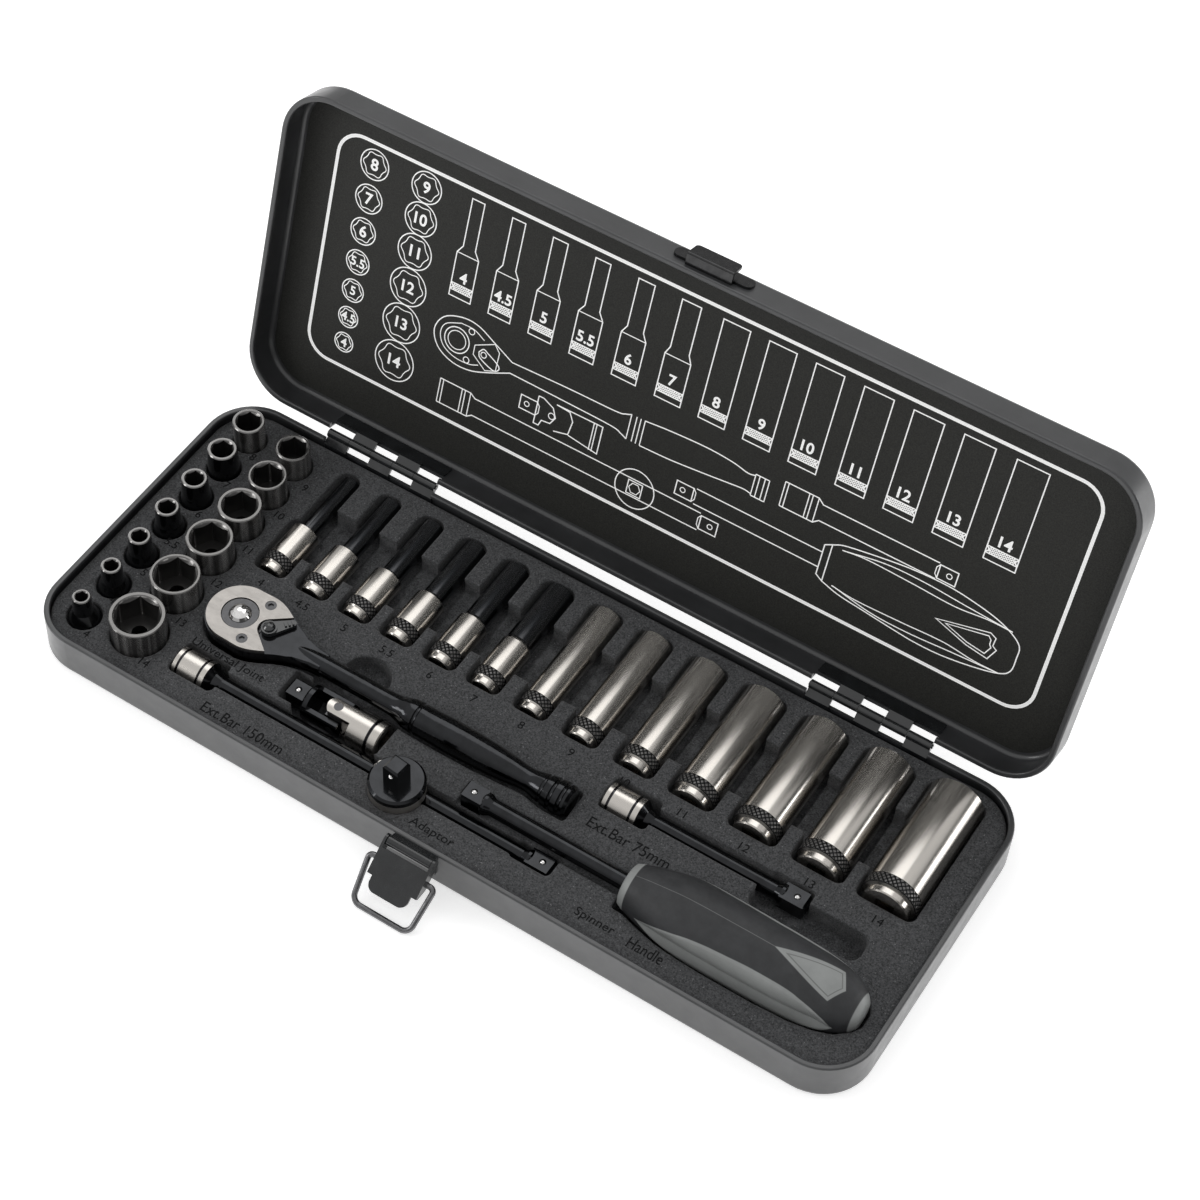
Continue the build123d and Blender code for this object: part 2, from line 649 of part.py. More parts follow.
def spinner_shaft():
    tip_end = SPINNER_TIP_X + DRIVE_LENGTH
    shaft = turned(
        (BAR_SHAFT_RADIUS, tip_end - 1), (BAR_NECK_RADIUS, tip_end), (BAR_NECK_RADIUS, tip_end + 1),
        (BAR_SHAFT_RADIUS, tip_end + 3), (BAR_SHAFT_RADIUS, SPINNER_SHAFT_END_X),
    )
    tip = Pos(SPINNER_TIP_X, SPINNER_Y, SPINNER_Z) * tip_to_the_left(drive_tip(DRIVE_LENGTH))
    return at_spinner(shaft) + tip


def spinner_ball():
    return Pos(SPINNER_TIP_X, SPINNER_Y, SPINNER_Z) * tip_to_the_left(drive_ball())


def spinner_core():
    """Hard plastic core: front collar, bed for the soft grip, and rounded end cap."""
    grip_start, first_radius = GRIP_PROFILE[0]
    grip_end, last_radius = GRIP_PROFILE[-1]
    profile = [(first_radius - 0.6, COLLAR_X), (first_radius, COLLAR_X + 0.8), (first_radius, grip_start)]
    profile += [(radius - GRIP_WALL, x) for x, radius in GRIP_PROFILE]
    profile += [
        (last_radius, grip_end), (6.6, grip_end + 3.0), (3.6, CAP_END_X - 0.6), (1.6, CAP_END_X),
    ]
    bore = cylinder(BAR_SHAFT_RADIUS + 0.01, COLLAR_X - 1, SPINNER_SHAFT_END_X + 0.01)
    return at_spinner(turned(*profile) - bore)


def spinner_grip():
    """Soft sleeve round the core."""
    outer = turned(*[(radius, x) for x, radius in GRIP_PROFILE])
    inner = turned(*[(radius - GRIP_WALL + 0.01, x) for x, radius in GRIP_PROFILE])
    return at_spinner(outer - inner)


# ---------------------------------------------------------------- ratchet
def at_head(shape):
    return Pos(RATCHET_X, RATCHET_Y, 0) * shape


def head_slab(offset, low, high):
    """The head's outline from above, extruded: a round head that narrows into the neck."""
    radius = HEAD_RADIUS + offset
    side = [(x, RATCHET_Y + half + offset) for x, half in (*HEAD_WAIST, HEAD_TAIL)]
    mirrored = [(x, 2 * RATCHET_Y - y) for x, y in reversed(side)]
    far, near = (RATCHET_X, RATCHET_Y + radius), (RATCHET_X, RATCHET_Y - radius)
    with BuildSketch() as outline:
        with BuildLine():
            Spline(far, *side, tangents=[(1, 0), (1, -0.1)])
            Line(side[-1], mirrored[0])
            Spline(*mirrored, near, tangents=[(-1, -0.1), (-1, 0)])
            ThreePointArc(near, (RATCHET_X - radius, RATCHET_Y), far)
        make_face()
    return Pos(0, 0, low) * extrude(outline.sketch, high - low)


def handle_radius(x):
    """Radius of the ratchet's handle at x, between the two nearest points of its profile."""
    for (x0, r0), (x1, r1) in zip(HANDLE_PROFILE, HANDLE_PROFILE[1:]):
        if x0 <= x <= x1:
            return r0 + (r1 - r0) * (x - x0) / (x1 - x0)
    return HANDLE_PROFILE[-1][1]


def ratchet_handle():
    """Swelling round handle with two rings of grooves."""
    shaft = turned_smooth(*[(radius, x) for x, radius in HANDLE_PROFILE])
    end_x, end_radius = HANDLE_PROFILE[-1]
    shaft += turned((end_radius, end_x - 0.5), (end_radius, end_x), (end_radius - 0.9, HANDLE_END_X))
    for x in HANDLE_GROOVES:
        reach = handle_radius(x) + HANDLE_GROOVE_RADIUS - HANDLE_GROOVE_DEPTH
        shaft -= Pos(0, 0, x) * Torus(reach, HANDLE_GROOVE_RADIUS)
    return Pos(0, RATCHET_Y, HANDLE_Z) * along_x(shaft)


def neck_envelope():
    """Round body that trims the head's slab into the neck."""
    profile = ((20.0, -115.0), (15.0, -87.0), (8.3, -80.0), (5.3, -74.0), (4.2, -68.0), (3.8, -60.0))
    return Pos(0, RATCHET_Y, HANDLE_Z) * along_x(turned(*profile))


def ratchet_body():
    """Forged head and handle, with the cavity for the gear and the pawl."""
    head = head_slab(0, HEAD_BOTTOM_Z, HEAD_TOP_Z)
    body = (head & neck_envelope()) + ratchet_handle()
    gear_room = cylinder(GEAR_RADIUS + 0.4, HEAD_BOTTOM_Z + 1.4, HEAD_TOP_Z + 1)
    lower_bore = cylinder(GEAR_HUB_RADIUS + 0.08, HEAD_BOTTOM_Z - 1, HEAD_TOP_Z)
    pawl_room = block((0, 10.2), (-5.6, 5.6), (HEAD_BOTTOM_Z + 1.4, HEAD_TOP_Z + 1))
    body -= at_head(gear_room + lower_bore + pawl_room)
    hub = Pos(LEVER_HUB_X, RATCHET_Y, 0) * cylinder(1.56, HEAD_BOTTOM_Z + 2, HEAD_TOP_Z + 1)
    threads = [
        Pos(COVER_SCREW_X, RATCHET_Y + y, 0) * cylinder(1.11, HEAD_TOP_Z - 4, HEAD_TOP_Z + 1)
        for y in (-COVER_SCREW_Y, COVER_SCREW_Y)
    ]
    return body - [hub, *threads]


def ratchet_cover_plate():
    """Polished plate over the gear, cut back in a V round the reversing lever."""
    plate = head_slab(-COVER_EDGE, HEAD_TOP_Z, HEAD_TOP_Z + COVER_THICKNESS)
    plate -= block((COVER_END_X, 0), (-60, 20), (0, 40))
    plate -= at_head(cylinder(GEAR_HUB_RADIUS + 0.3, 0, 40))
    angle = math.radians(COVER_NOTCH_ANGLE)
    tangent = (-COVER_NOTCH_RADIUS * math.sin(angle), COVER_NOTCH_RADIUS * math.cos(angle))
    far = (tangent[0] + 20 * math.cos(angle), tangent[1] + 20 * math.sin(angle))
    wedge = make_face(
        Polyline(tangent, far, (far[0], -far[1]), (tangent[0], -tangent[1]), close=True)
    )
    notch = extrude(wedge, 40) + cylinder(COVER_NOTCH_RADIUS, 0, 40)
    plate -= Pos(LEVER_HUB_X, RATCHET_Y, 0) * notch
    for y in (-COVER_SCREW_Y, COVER_SCREW_Y):
        plate -= Pos(COVER_SCREW_X, RATCHET_Y + y, 0) * cylinder(2.02, 0, 40)
    return plate


def ratchet_cover_screws():
    screws = []
    for y in (-COVER_SCREW_Y, COVER_SCREW_Y):
        head = cylinder(2.0, HEAD_TOP_Z, HEAD_TOP_Z + COVER_THICKNESS - 0.1)
        head -= Pos(0, 0, HEAD_TOP_Z + 0.4) * extrude(RegularPolygon(1.1, 6), 2)
        shank = cylinder(1.1, HEAD_TOP_Z - 3.8, HEAD_TOP_Z)
        screws.append(Pos(COVER_SCREW_X, RATCHET_Y + y, 0) * (head + shank))
    return Compound(screws)


def ratchet_drive_gear():
    """Toothed gear, hubs above and below, and the square drive pointing down."""
    points = []
    for tooth in range(GEAR_TEETH):
        for turn, radius in ((0, GEAR_RADIUS), (0.5, GEAR_RADIUS - 0.5)):
            angle = 2 * math.pi * (tooth + turn) / GEAR_TEETH
            points.append((radius * math.cos(angle), radius * math.sin(angle)))
    teeth = extrude(make_face(Polyline(*points, close=True)), 5.6)
    gear = Pos(0, 0, HEAD_BOTTOM_Z + 1.6) * teeth
    gear += cylinder(GEAR_HUB_RADIUS, HEAD_BOTTOM_Z + 0.2, HEAD_TOP_Z + COVER_THICKNESS - 0.3)
    gear += Pos(0, 0, DRIVE_TIP_Z) * drive_tip(HEAD_BOTTOM_Z - DRIVE_TIP_Z + 1)
    gear -= cylinder(BUTTON_RADIUS + 0.08, HEAD_TOP_Z - 2.4, HEAD_TOP_Z + 5)
    gear -= cylinder(BUTTON_STEM_RADIUS + 0.06, DRIVE_TIP_Z + 6.0, HEAD_TOP_Z)
    return at_head(gear)


def ratchet_drive_ball():
    return at_head(Pos(0, 0, DRIVE_TIP_Z) * drive_ball())


def ratchet_release_button():
    """Domed push button on a stem that frees the detent ball."""
    top = HEAD_TOP_Z + COVER_THICKNESS
    dome = turned(
        (BUTTON_RADIUS, HEAD_TOP_Z - 0.6), (BUTTON_RADIUS, top - 0.1), (3.2, top + 0.9),
        (2.1, top + 1.6), (0.8, top + 1.95),
    )
    return at_head(dome + cylinder(BUTTON_STEM_RADIUS, DRIVE_TIP_Z + 6.0 + BUTTON_TRAVEL + 0.2, HEAD_TOP_Z))


def ratchet_pawl():
    """Crescent that locks the gear one way, rocked by the reversing lever."""
    inner = GEAR_RADIUS + PAWL_GAP
    ring = cylinder(inner + 1.5, HEAD_BOTTOM_Z + 2.0, HEAD_BOTTOM_Z + 6.6)
    ring -= cylinder(inner, 0, 40)
    return at_head(ring & block((6.0, 12), (-4.2, 4.2), (0, 40)))


def ratchet_reverse_lever():
    """Small lever on a round hub, narrowing to a ribbed tip."""
    low = HEAD_TOP_Z + 0.2
    hub = cylinder(LEVER_HUB_RADIUS, low, low + 1.9)
    dome = turned((2.2, low + 1.9), (2.0, low + 2.5), (1.3, low + 3.1), (0.5, low + 3.3))
    arm = make_hull(
        (Circle(LEVER_HUB_RADIUS) + Pos(LEVER_ARM_LENGTH, 0) * Circle(LEVER_TIP_RADIUS)).edges()
    )
    arm = Pos(0, 0, low) * extrude(arm, 1.3)
    for rib in range(3):
        x = LEVER_ARM_LENGTH - 1.3 * rib
        arm += block((x - 0.35, x + 0.35), (-1.0, 1.0), (low + 1.2, low + 1.9))
    stem = cylinder(1.5, HEAD_BOTTOM_Z + 2.2, low)
    lever = Rot(0, 0, LEVER_REST_ANGLE) * (hub + dome + arm + stem)
    return Pos(LEVER_HUB_X, RATCHET_Y, 0) * lever


# ---------------------------------------------------------------- foam
def slot(x, y, half_width, floor, end_radius=1.5):
    """Pocket along X, open at the foam's top."""
    length = x[1] - x[0]
    radius = min(end_radius, half_width - 0.1)
    shape = extrude(RectangleRounded(length, 2 * half_width, radius), FOAM_TOP + 1 - floor)
    return Pos((x[0] + x[1]) / 2, y, floor) * shape


def round_pocket(x, y, radius, floor):
    return Pos(x, y, 0) * cylinder(radius, floor, FOAM_TOP + 1)


def short_socket_pockets():
    for nose, x, y, _ in SOCKETS.values():
        yield round_pocket(x, y, max(nose, DRIVE_END_DIAMETER) / 2 + GAP, FOAM_FLOOR)


def deep_socket_pockets():
    """A wide pocket for each drive end, a narrower one for the nose, and the finger channel."""
    front = DEEP_DRIVE_Y - 1.0
    back = DEEP_DRIVE_Y + DEEP_LENGTH + 1.0
    for size, (nose, _, _, x) in SOCKETS.items():
        radius = deep_radius(size)
        floor = deep_axis_z(size) - radius - 0.15
        wide_end = back
        if nose < DRIVE_END_DIAMETER:
            wide_end = DEEP_DRIVE_Y + DEEP_SHOULDER + DEEP_SHOULDER_TAPER + 1
            yield Rot(0, 0, 90) * slot((wide_end - 8, back), -x, nose / 2 + 1.0, floor, 3.5)
        yield Rot(0, 0, 90) * slot((front, wide_end), -x, radius + 0.8, floor, 2.5)
    low, high = FINGER_CHANNEL_Y
    ends = (SOCKETS[4.0][3], SOCKETS[14.0][3])
    yield block(ends, (low, high), (FINGER_CHANNEL_Z, FOAM_TOP + 1))


def bar_pockets(bar):
    x, y, length = bar
    socket_end = x + BAR_SOCKET_LENGTH + BAR_TAPER_LENGTH + 1.6
    tip = x + length
    neck_floor = BAR_Z - BAR_NECK_RADIUS - 0.15
    yield slot((x - GAP, socket_end), y, BAR_SOCKET_RADIUS + GAP, BAR_Z - BAR_SOCKET_RADIUS - 0.15)
    yield slot((socket_end - 3, tip - 9), y, BAR_SHAFT_RADIUS + GAP, neck_floor)
    yield slot((tip - 14.5, tip + 0.6), y, BAR_NECK_RADIUS + GAP, neck_floor)


def turned_pocket(profile, y, margin, floor):
    """Pocket for a turned handle lying along X, as wide as the handle at every point."""
    far = [(x, y + radius + margin) for x, radius in profile]
    near = [(x, y - radius - margin) for x, radius in reversed(profile)]
    face = make_face(Polyline(*far, *near, close=True))
    return Pos(0, 0, floor) * extrude(face, FOAM_TOP + 1 - floor)


def ratchet_pockets():
    yield head_slab(0.6, HEAD_BOTTOM_Z - 0.3, FOAM_TOP + 1)
    yield round_pocket(RATCHET_X, RATCHET_Y, DRIVE_SQUARE * 0.71 + 0.9, FOAM_FLOOR)
    profile = ((-74.0, 4.2), (-64.0, 3.9), *HANDLE_PROFILE[3:], (HANDLE_END_X + 0.8, 5.7))
    yield turned_pocket(profile, RATCHET_Y, 0.7, HANDLE_Z - 6.2)
    yield round_pocket(-50.5, RATCHET_Y + 5.0, 8.6, 6.0)


def spinner_pockets():
    yield slot((SPINNER_TIP_X - 0.8, COLLAR_X), SPINNER_Y, BAR_NECK_RADIUS + GAP, SPINNER_Z - 4.1)
    first = (COLLAR_X - 0.6, GRIP_PROFILE[0][1])
    profile = (first, *GRIP_PROFILE, (CAP_END_X - 1.0, 4.8), (CAP_END_X + 0.6, 2.0))
    yield turned_pocket(profile, SPINNER_Y, 0.7, FOAM_FLOOR)


def universal_joint_pockets():
    floor = UJ_Z - UJ_RADIUS - 0.2
    left = UJ_PIVOT_X - UJ_DRIVE_TIP
    right = UJ_PIVOT_X + UJ_SOCKET_END
    yield slot((left - 0.8, UJ_PIVOT_X), UJ_Y, DRIVE_SQUARE / 2 + 3.0, floor)
    yield slot((UJ_PIVOT_X - 14.6, right + 2.0), UJ_Y, UJ_RADIUS + 1.7, floor)


def foam_tray():
    """Foam block with a pocket cut for every tool and recesses for the fingers."""
    foam = inset_slab(FOAM_INSET, SHEET, FOAM_TOP)
    foam = fillet(foam.faces().sort_by(Axis.Z)[0].edges(), 1.0)
    pockets = [
        *short_socket_pockets(), *deep_socket_pockets(), *bar_pockets(LONG_BAR),
        *bar_pockets(SHORT_BAR), *ratchet_pockets(), *spinner_pockets(),
        *universal_joint_pockets(),
        round_pocket(ADAPTOR_X, ADAPTOR_Y, ADAPTOR_RADIUS + GAP, ADAPTOR_Z - 0.02),
        slot((99.5, 139.5), -14.5, 5.5, 4.0, 4.0),
    ]
    return foam - pockets


def size_name(size):
    """4.5 becomes 4_5mm."""
    return f"{size:g}mm".replace(".", "_")


def nodes():
    """Every sub-part by name."""
    parts = {
        "base_shell": base_shell(),
        "foam_tray": foam_tray(),
        "hinge_base_leaves": hinge_base_leaves(),
        "hinge_pins": hinge_pins(),
        "latch_bracket": latch_bracket(),
        "lid_shell": lid_shell(),
        "lid_card": lid_card(),
        "hinge_lid_leaves": hinge_lid_leaves(),
        "latch_keeper": latch_keeper(),
        "latch_lever": latch_lever(),
        "latch_lever_pin": latch_lever_pin(),
        "latch_bail": latch_bail(),
        "ratchet_body": ratchet_body(),
        "ratchet_cover_plate": ratchet_cover_plate(),
        "ratchet_cover_screws": ratchet_cover_screws(),
        "ratchet_pawl": ratchet_pawl(),
        "ratchet_drive_gear": ratchet_drive_gear(),
        "ratchet_drive_ball": ratchet_drive_ball(),
        "ratchet_release_button": ratchet_release_button(),
        "ratchet_reverse_lever": ratchet_reverse_lever(),
        "extension_bar_150mm": extension_bar(LONG_BAR),
        "extension_bar_150mm_ball": extension_bar_ball(LONG_BAR),
        "extension_bar_75mm": extension_bar(SHORT_BAR),
        "extension_bar_75mm_ball": extension_bar_ball(SHORT_BAR),
        "universal_joint_drive_yoke": universal_joint_drive_yoke(),
        "universal_joint_cross": universal_joint_cross(),
        "universal_joint_socket_yoke": universal_joint_socket_yoke(),
        "universal_joint_ball": universal_joint_ball(),
        "adaptor_disc": adaptor_disc(),
        "adaptor_ball": adaptor_ball(),
        "spinner_shaft": spinner_shaft(),
        "spinner_core": spinner_core(),
        "spinner_grip": spinner_grip(),
        "spinner_ball": spinner_ball(),
    }
    for size in SOCKETS:
        parts[f"socket_{size_name(size)}"] = short_socket(size)
        parts[f"deep_socket_{size_name(size)}"] = deep_socket(size)
    return parts


os.makedirs("parts", exist_ok=True)
for name, shape in nodes().items():
    export_step(shape, f"parts/{name}.step")
    print(name, round(shape.volume, 1))
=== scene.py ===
"""Looks of the socket wrench set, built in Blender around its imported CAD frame.

Sizes in this file are in millimetres in the row frame unless a name says otherwise;
they are turned into metres where a mesh is made. +X runs along the case to the right,
+Y towards the hinges and +Z up, as in the frame.
"""
import math

import bpy
import numpy as np
from mathutils import Matrix, Vector, noise


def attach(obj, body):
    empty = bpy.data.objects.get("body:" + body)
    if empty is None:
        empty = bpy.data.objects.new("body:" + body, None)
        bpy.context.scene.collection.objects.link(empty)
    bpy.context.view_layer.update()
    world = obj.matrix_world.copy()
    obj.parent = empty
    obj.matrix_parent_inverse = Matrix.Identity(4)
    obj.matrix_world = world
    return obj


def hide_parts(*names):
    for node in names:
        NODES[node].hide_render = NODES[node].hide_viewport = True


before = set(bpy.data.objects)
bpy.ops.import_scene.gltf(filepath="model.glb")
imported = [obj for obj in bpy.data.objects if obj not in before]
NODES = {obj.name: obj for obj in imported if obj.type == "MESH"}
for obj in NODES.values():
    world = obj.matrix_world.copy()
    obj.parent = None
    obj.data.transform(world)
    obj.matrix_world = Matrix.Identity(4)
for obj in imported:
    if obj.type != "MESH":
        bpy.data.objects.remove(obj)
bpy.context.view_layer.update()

MM = 0.001

# ---------------------------------------------------------------- sizes shared with the CAD
HINGE_Y, HINGE_Z = 63.7, 17.7
LID_OPEN_ANGLE = 107.2
CARD_Z = 29.25                   # the card's visible face, lid shut
FOAM_TOP = 13.5
FOAM_FLOOR = 1.9
SHORT_RING = {"4": (-145, -47.2), "4_5": (-145, -31), "5": (-145, -15.4), "5_5": (-145, 0.2),
              "6": (-145, 15.8), "7": (-145, 32), "8": (-145, 47.6), "9": (-124.7, 46.4),
              "10": (-124.7, 31.2), "11": (-124.7, 15), "12": (-124.7, -2.4),
              "13": (-124.7, -21.8), "14": (-124.7, -42.8)}
DEEP_X = {"4": -104.7, "4_5": -87.2, "5": -69.6, "5_5": -52, "6": -34.4, "7": -16.7, "8": 2.3,
          "9": 21.9, "10": 42.7, "11": 64.6, "12": 88, "13": 112.2, "14": 137}
NOSE_DIAMETER = {"4": 6.4, "4_5": 7.2, "5": 7.9, "5_5": 8.5, "6": 9.2, "7": 10.5, "8": 11.6,
                 "9": 12.4, "10": 13.7, "11": 15.6, "12": 16.6, "13": 17.6, "14": 19.5}
DRIVE_END_DIAMETER = 11.6
SMALL_SIZES = ("4", "4_5", "5", "5_5", "6", "7")
DEEP_Y = 3.9                     # drive end of every deep socket
DEEP_SHOULDER = 21.2
SHORT_TOP = 23.9
BARS = {"extension_bar_150mm": (-108.0, -42.6), "extension_bar_75mm": (41.2, -8.2)}
BAR_SOCKET_LENGTH = 13.0
SPINNER_Y, SPINNER_Z = -35.7, 15.3


# ---------------------------------------------------------------- materials
class Finish:
    """One procedural material: a Principled shader fed by a few maths and noise nodes."""

    def __init__(self, name, colour, roughness, metallic=0.0, coat=0.0, specular=0.5):
        self.material = bpy.data.materials.new(name)
        self.material.use_nodes = True
        self.tree = self.material.node_tree
        self.shader = self.tree.nodes["Principled BSDF"]
        self.shader.inputs["Base Color"].default_value = (*colour, 1)
        self.shader.inputs["Roughness"].default_value = roughness
        self.shader.inputs["Metallic"].default_value = metallic
        self.shader.inputs["Coat Weight"].default_value = coat
        self.shader.inputs["Coat Roughness"].default_value = 0.12
        self.shader.inputs["Specular IOR Level"].default_value = specular
        self.place = self.tree.nodes.new("ShaderNodeTexCoord").outputs["Object"]
        self.axes = None

    def plug(self, socket, value):
        """Puts a number, a colour or another node's output into a socket."""
        if hasattr(value, "node"):
            self.tree.links.new(value, socket)
        elif isinstance(value, tuple) and socket.type == "RGBA":
            socket.default_value = (*value, 1) if len(value) == 3 else value
        else:
            socket.default_value = value

    def math(self, operation, a, b=0.0, c=0.0):
        node = self.tree.nodes.new("ShaderNodeMath")
        node.operation = operation
        for socket, value in zip(node.inputs, (a, b, c)):
            self.plug(socket, value)
        return node.outputs[0]

    def axis(self, letter):
        """A coordinate in the row frame, in millimetres."""
        if self.axes is None:
            split = self.tree.nodes.new("ShaderNodeSeparateXYZ")
            self.tree.links.new(self.place, split.inputs[0])
            self.axes = {k: self.math("DIVIDE", split.outputs[k], MM) for k in "XYZ"}
        return self.axes[letter]

    def noise(self, size, detail=3.0, rough=0.55, stretch=(1, 1, 1)):
        """Noise whose features are about size millimetres wide."""
        moved = self.tree.nodes.new("ShaderNodeMapping")
        moved.inputs["Scale"].default_value = stretch
        self.tree.links.new(self.place, moved.inputs["Vector"])
        node = self.tree.nodes.new("ShaderNodeTexNoise")
        node.inputs["Scale"].default_value = 1 / (size * MM)
        node.inputs["Detail"].default_value = detail
        node.inputs["Roughness"].default_value = rough
        self.tree.links.new(moved.outputs[0], node.inputs["Vector"])
        return node.outputs["Fac"]

    def ramp(self, value, low, high, to_low=0.0, to_high=1.0):
        node = self.tree.nodes.new("ShaderNodeMapRange")
        for index, given in enumerate((value, low, high, to_low, to_high)):
            self.plug(node.inputs[index], given)
        return node.outputs[0]

    def mix(self, share, a, b):
        node = self.tree.nodes.new("ShaderNodeMix")
        node.data_type = "RGBA"
        self.plug(node.inputs["Factor"], share)
        self.plug(node.inputs[6], a)
        self.plug(node.inputs[7], b)
        return node.outputs[2]

    def blend(self, share, a, b):
        """A number going from a to b."""
        return self.math("ADD", a, self.math("MULTIPLY", share, self.math("SUBTRACT", b, a)))

    def between(self, value, low, high, soft=0.05):
        """1 where low < value < high."""
        up = self.ramp(value, low - soft, low + soft)
        down = self.ramp(value, high - soft, high + soft, 1.0, 0.0)
        return self.math("MULTIPLY", up, down)

    def distance(self, x, y, across=("X", "Y")):
        """Distance in millimetres from a line parallel to the third axis."""
        dx = self.math("SUBTRACT", self.axis(across[0]), x)
        dy = self.math("SUBTRACT", self.axis(across[1]), y)
        return self.math("SQRT", self.math("ADD", self.math("MULTIPLY", dx, dx),
                                           self.math("MULTIPLY", dy, dy)))

    def colour(self, value):
        self.plug(self.shader.inputs["Base Color"], value)
        return self

    def roughness(self, value):
        self.plug(self.shader.inputs["Roughness"], value)
        return self

    def bump(self, height, depth_mm, strength=1.0):
        node = self.tree.nodes.new("ShaderNodeBump")
        node.inputs["Strength"].default_value = strength
        node.inputs["Distance"].default_value = depth_mm * MM
        self.plug(node.inputs["Height"], height)
        self.tree.links.new(node.outputs[0], self.shader.inputs["Normal"])
        return self


def scaled(colour, factor):
    return tuple(c * factor for c in colour)


PAINT = (0.034, 0.035, 0.037)
GLOSS = (0.010, 0.011, 0.012)
FOAM = (0.050, 0.051, 0.053)
CARD = (0.017, 0.017, 0.015)
NICKEL = (0.60, 0.57, 0.53)
STEEL = (0.44, 0.43, 0.42)
CHROME = (0.82, 0.81, 0.80)
BLACK_METAL = (0.016, 0.017, 0.019)
PLATE = (0.36, 0.342, 0.322)
DARK_STEEL = (0.10, 0.10, 0.103)
GREY_PLASTIC = (0.27, 0.28, 0.275)
SOFT_GRIP = (0.030, 0.031, 0.033)


def case_paint():
    f = Finish("case_paint", PAINT, 0.32, 0.0, coat=0.35, specular=0.6)
    cloud = f.noise(14, 2)
    f.colour(f.mix(f.ramp(cloud, 0.35, 0.65), scaled(PAINT, 0.85), scaled(PAINT, 1.15)))
    f.roughness(f.ramp(f.noise(5, 3), 0.3, 0.7, 0.32, 0.42))
    return f.bump(f.noise(0.55, 2), 0.010, 0.5).material


def gloss_black(name="gloss_black", roughness=0.16, coat=0.6, specular=0.5):
    f = Finish(name, GLOSS, roughness, 0.0, coat, specular)
    f.colour(f.mix(f.ramp(f.noise(6, 2), 0.3, 0.7), scaled(GLOSS, 0.8), scaled(GLOSS, 1.5)))
    f.roughness(f.ramp(f.noise(3, 3), 0.3, 0.7, roughness * 0.8, roughness * 1.5))
    return f.bump(f.noise(0.8, 2), 0.006, 0.4).material


def foam_finish():
    f = Finish("foam_grain", FOAM, 0.95, specular=0.15)
    grain = f.noise(0.55, 4, 0.7)
    shade = f.mix(f.ramp(grain, 0.36, 0.66), scaled(FOAM, 0.5), scaled(FOAM, 2.1))
    depth = f.ramp(f.axis("Z"), FOAM_TOP - 1.2, FOAM_TOP - 4.5)
    torn = f.math("MULTIPLY", depth, f.ramp(f.noise(5.0, 5, 0.7), 0.48, 0.70))
    shade = f.mix(torn, shade, f.mix(grain, scaled(FOAM, 1.2), scaled(FOAM, 3.6)))
    specks = f.ramp(f.noise(0.7, 1), 0.72, 0.75)
    f.colour(f.mix(specks, shade, (0.20, 0.20, 0.205)))
    f.shader.inputs["Sheen Weight"].default_value = 0.12
    f.shader.inputs["Sheen Roughness"].default_value = 0.6
    return f.bump(f.noise(0.45, 5, 0.75), 0.16, 0.8).material


def card_finish():
    f = Finish("card_grain", CARD, 0.62, specular=0.35)
    f.colour(f.mix(f.ramp(f.noise(0.45, 3, 0.7), 0.35, 0.68), scaled(CARD, 0.6),
                   scaled(CARD, 1.7)))
    return f.bump(f.noise(0.4, 3), 0.03, 0.5).material


def print_finish():
    f = Finish("white_print_painted_glow", (0.9, 0.9, 0.9), 0.5, specular=0.3)
    f.colour(f.mix(f.ramp(f.noise(0.5, 3), 0.3, 0.7), (0.86, 0.86, 0.85), (0.97, 0.97, 0.96)))
    # The emission makes the white print glow a little: painted light, as the print is no lamp.
    f.shader.inputs["Emission Color"].default_value = (1, 1, 1, 1)
    f.shader.inputs["Emission Strength"].default_value = 0.18
    return f.bump(f.noise(0.3, 2), 0.008, 0.4).material


def label_shade_finish():
    # Near-black lettering sheets stand in for the shade inside letters pressed into the foam:
    # painted shade.
    f = Finish("label_painted_shade", scaled(FOAM, 0.2), 0.9, specular=0.1)
    f.colour(f.mix(f.ramp(f.noise(0.5, 3), 0.3, 0.7), scaled(FOAM, 0.12), scaled(FOAM, 0.35)))
    return f.bump(f.noise(0.4, 3), 0.05, 0.5).material


def brushed(name, colour, roughness, stretch, metallic=1.0):
    """Ground metal; stretch is small along the direction of the grinding marks."""
    f = Finish(name, colour, roughness, metallic)
    marks = f.noise(0.25, 3, 0.6, stretch)
    f.colour(f.mix(f.ramp(f.noise(2.5, 3, 0.6, stretch), 0.3, 0.7), scaled(colour, 0.88),
                   scaled(colour, 1.08)))
    f.roughness(f.ramp(marks, 0.3, 0.7, roughness * 0.8, roughness * 1.25))
    return f, marks


def black_chrome(name="black_chrome", bands=(), bright=NICKEL, grooves=(), soft=0.25):
    """Dark plated metal. bands: (axis, low, high) left bright; grooves: the same, kept dark."""
    f = Finish(name, BLACK_METAL, 0.17, 1.0, coat=0.45)
    f.shader.inputs["Coat Roughness"].default_value = 0.07
    cloud = f.ramp(f.noise(4, 2), 0.3, 0.7)
    shade = f.mix(cloud, scaled(BLACK_METAL, 0.8), scaled(BLACK_METAL, 1.3))
    rough = f.ramp(f.noise(2.2, 3), 0.3, 0.7, 0.14, 0.22)
    for letter, low, high in bands:
        mask = f.between(f.axis(letter), low, high)
        for groove_letter, groove_low, groove_high in grooves:
            cut = f.between(f.axis(groove_letter), groove_low, groove_high)
            mask = f.math("MULTIPLY", mask, f.math("SUBTRACT", 1.0, cut))
        shade = f.mix(mask, shade, bright)
        rough = f.blend(mask, rough, soft)
    f.colour(shade).roughness(rough)
    return f.bump(f.noise(1.2, 2), 0.0005, 0.3).material


def satin_part(name, colour, roughness, stretch=(1, 1, 1)):
    f, marks = brushed(name, colour, roughness, stretch)
    return f.bump(marks, 0.004, 0.5).material


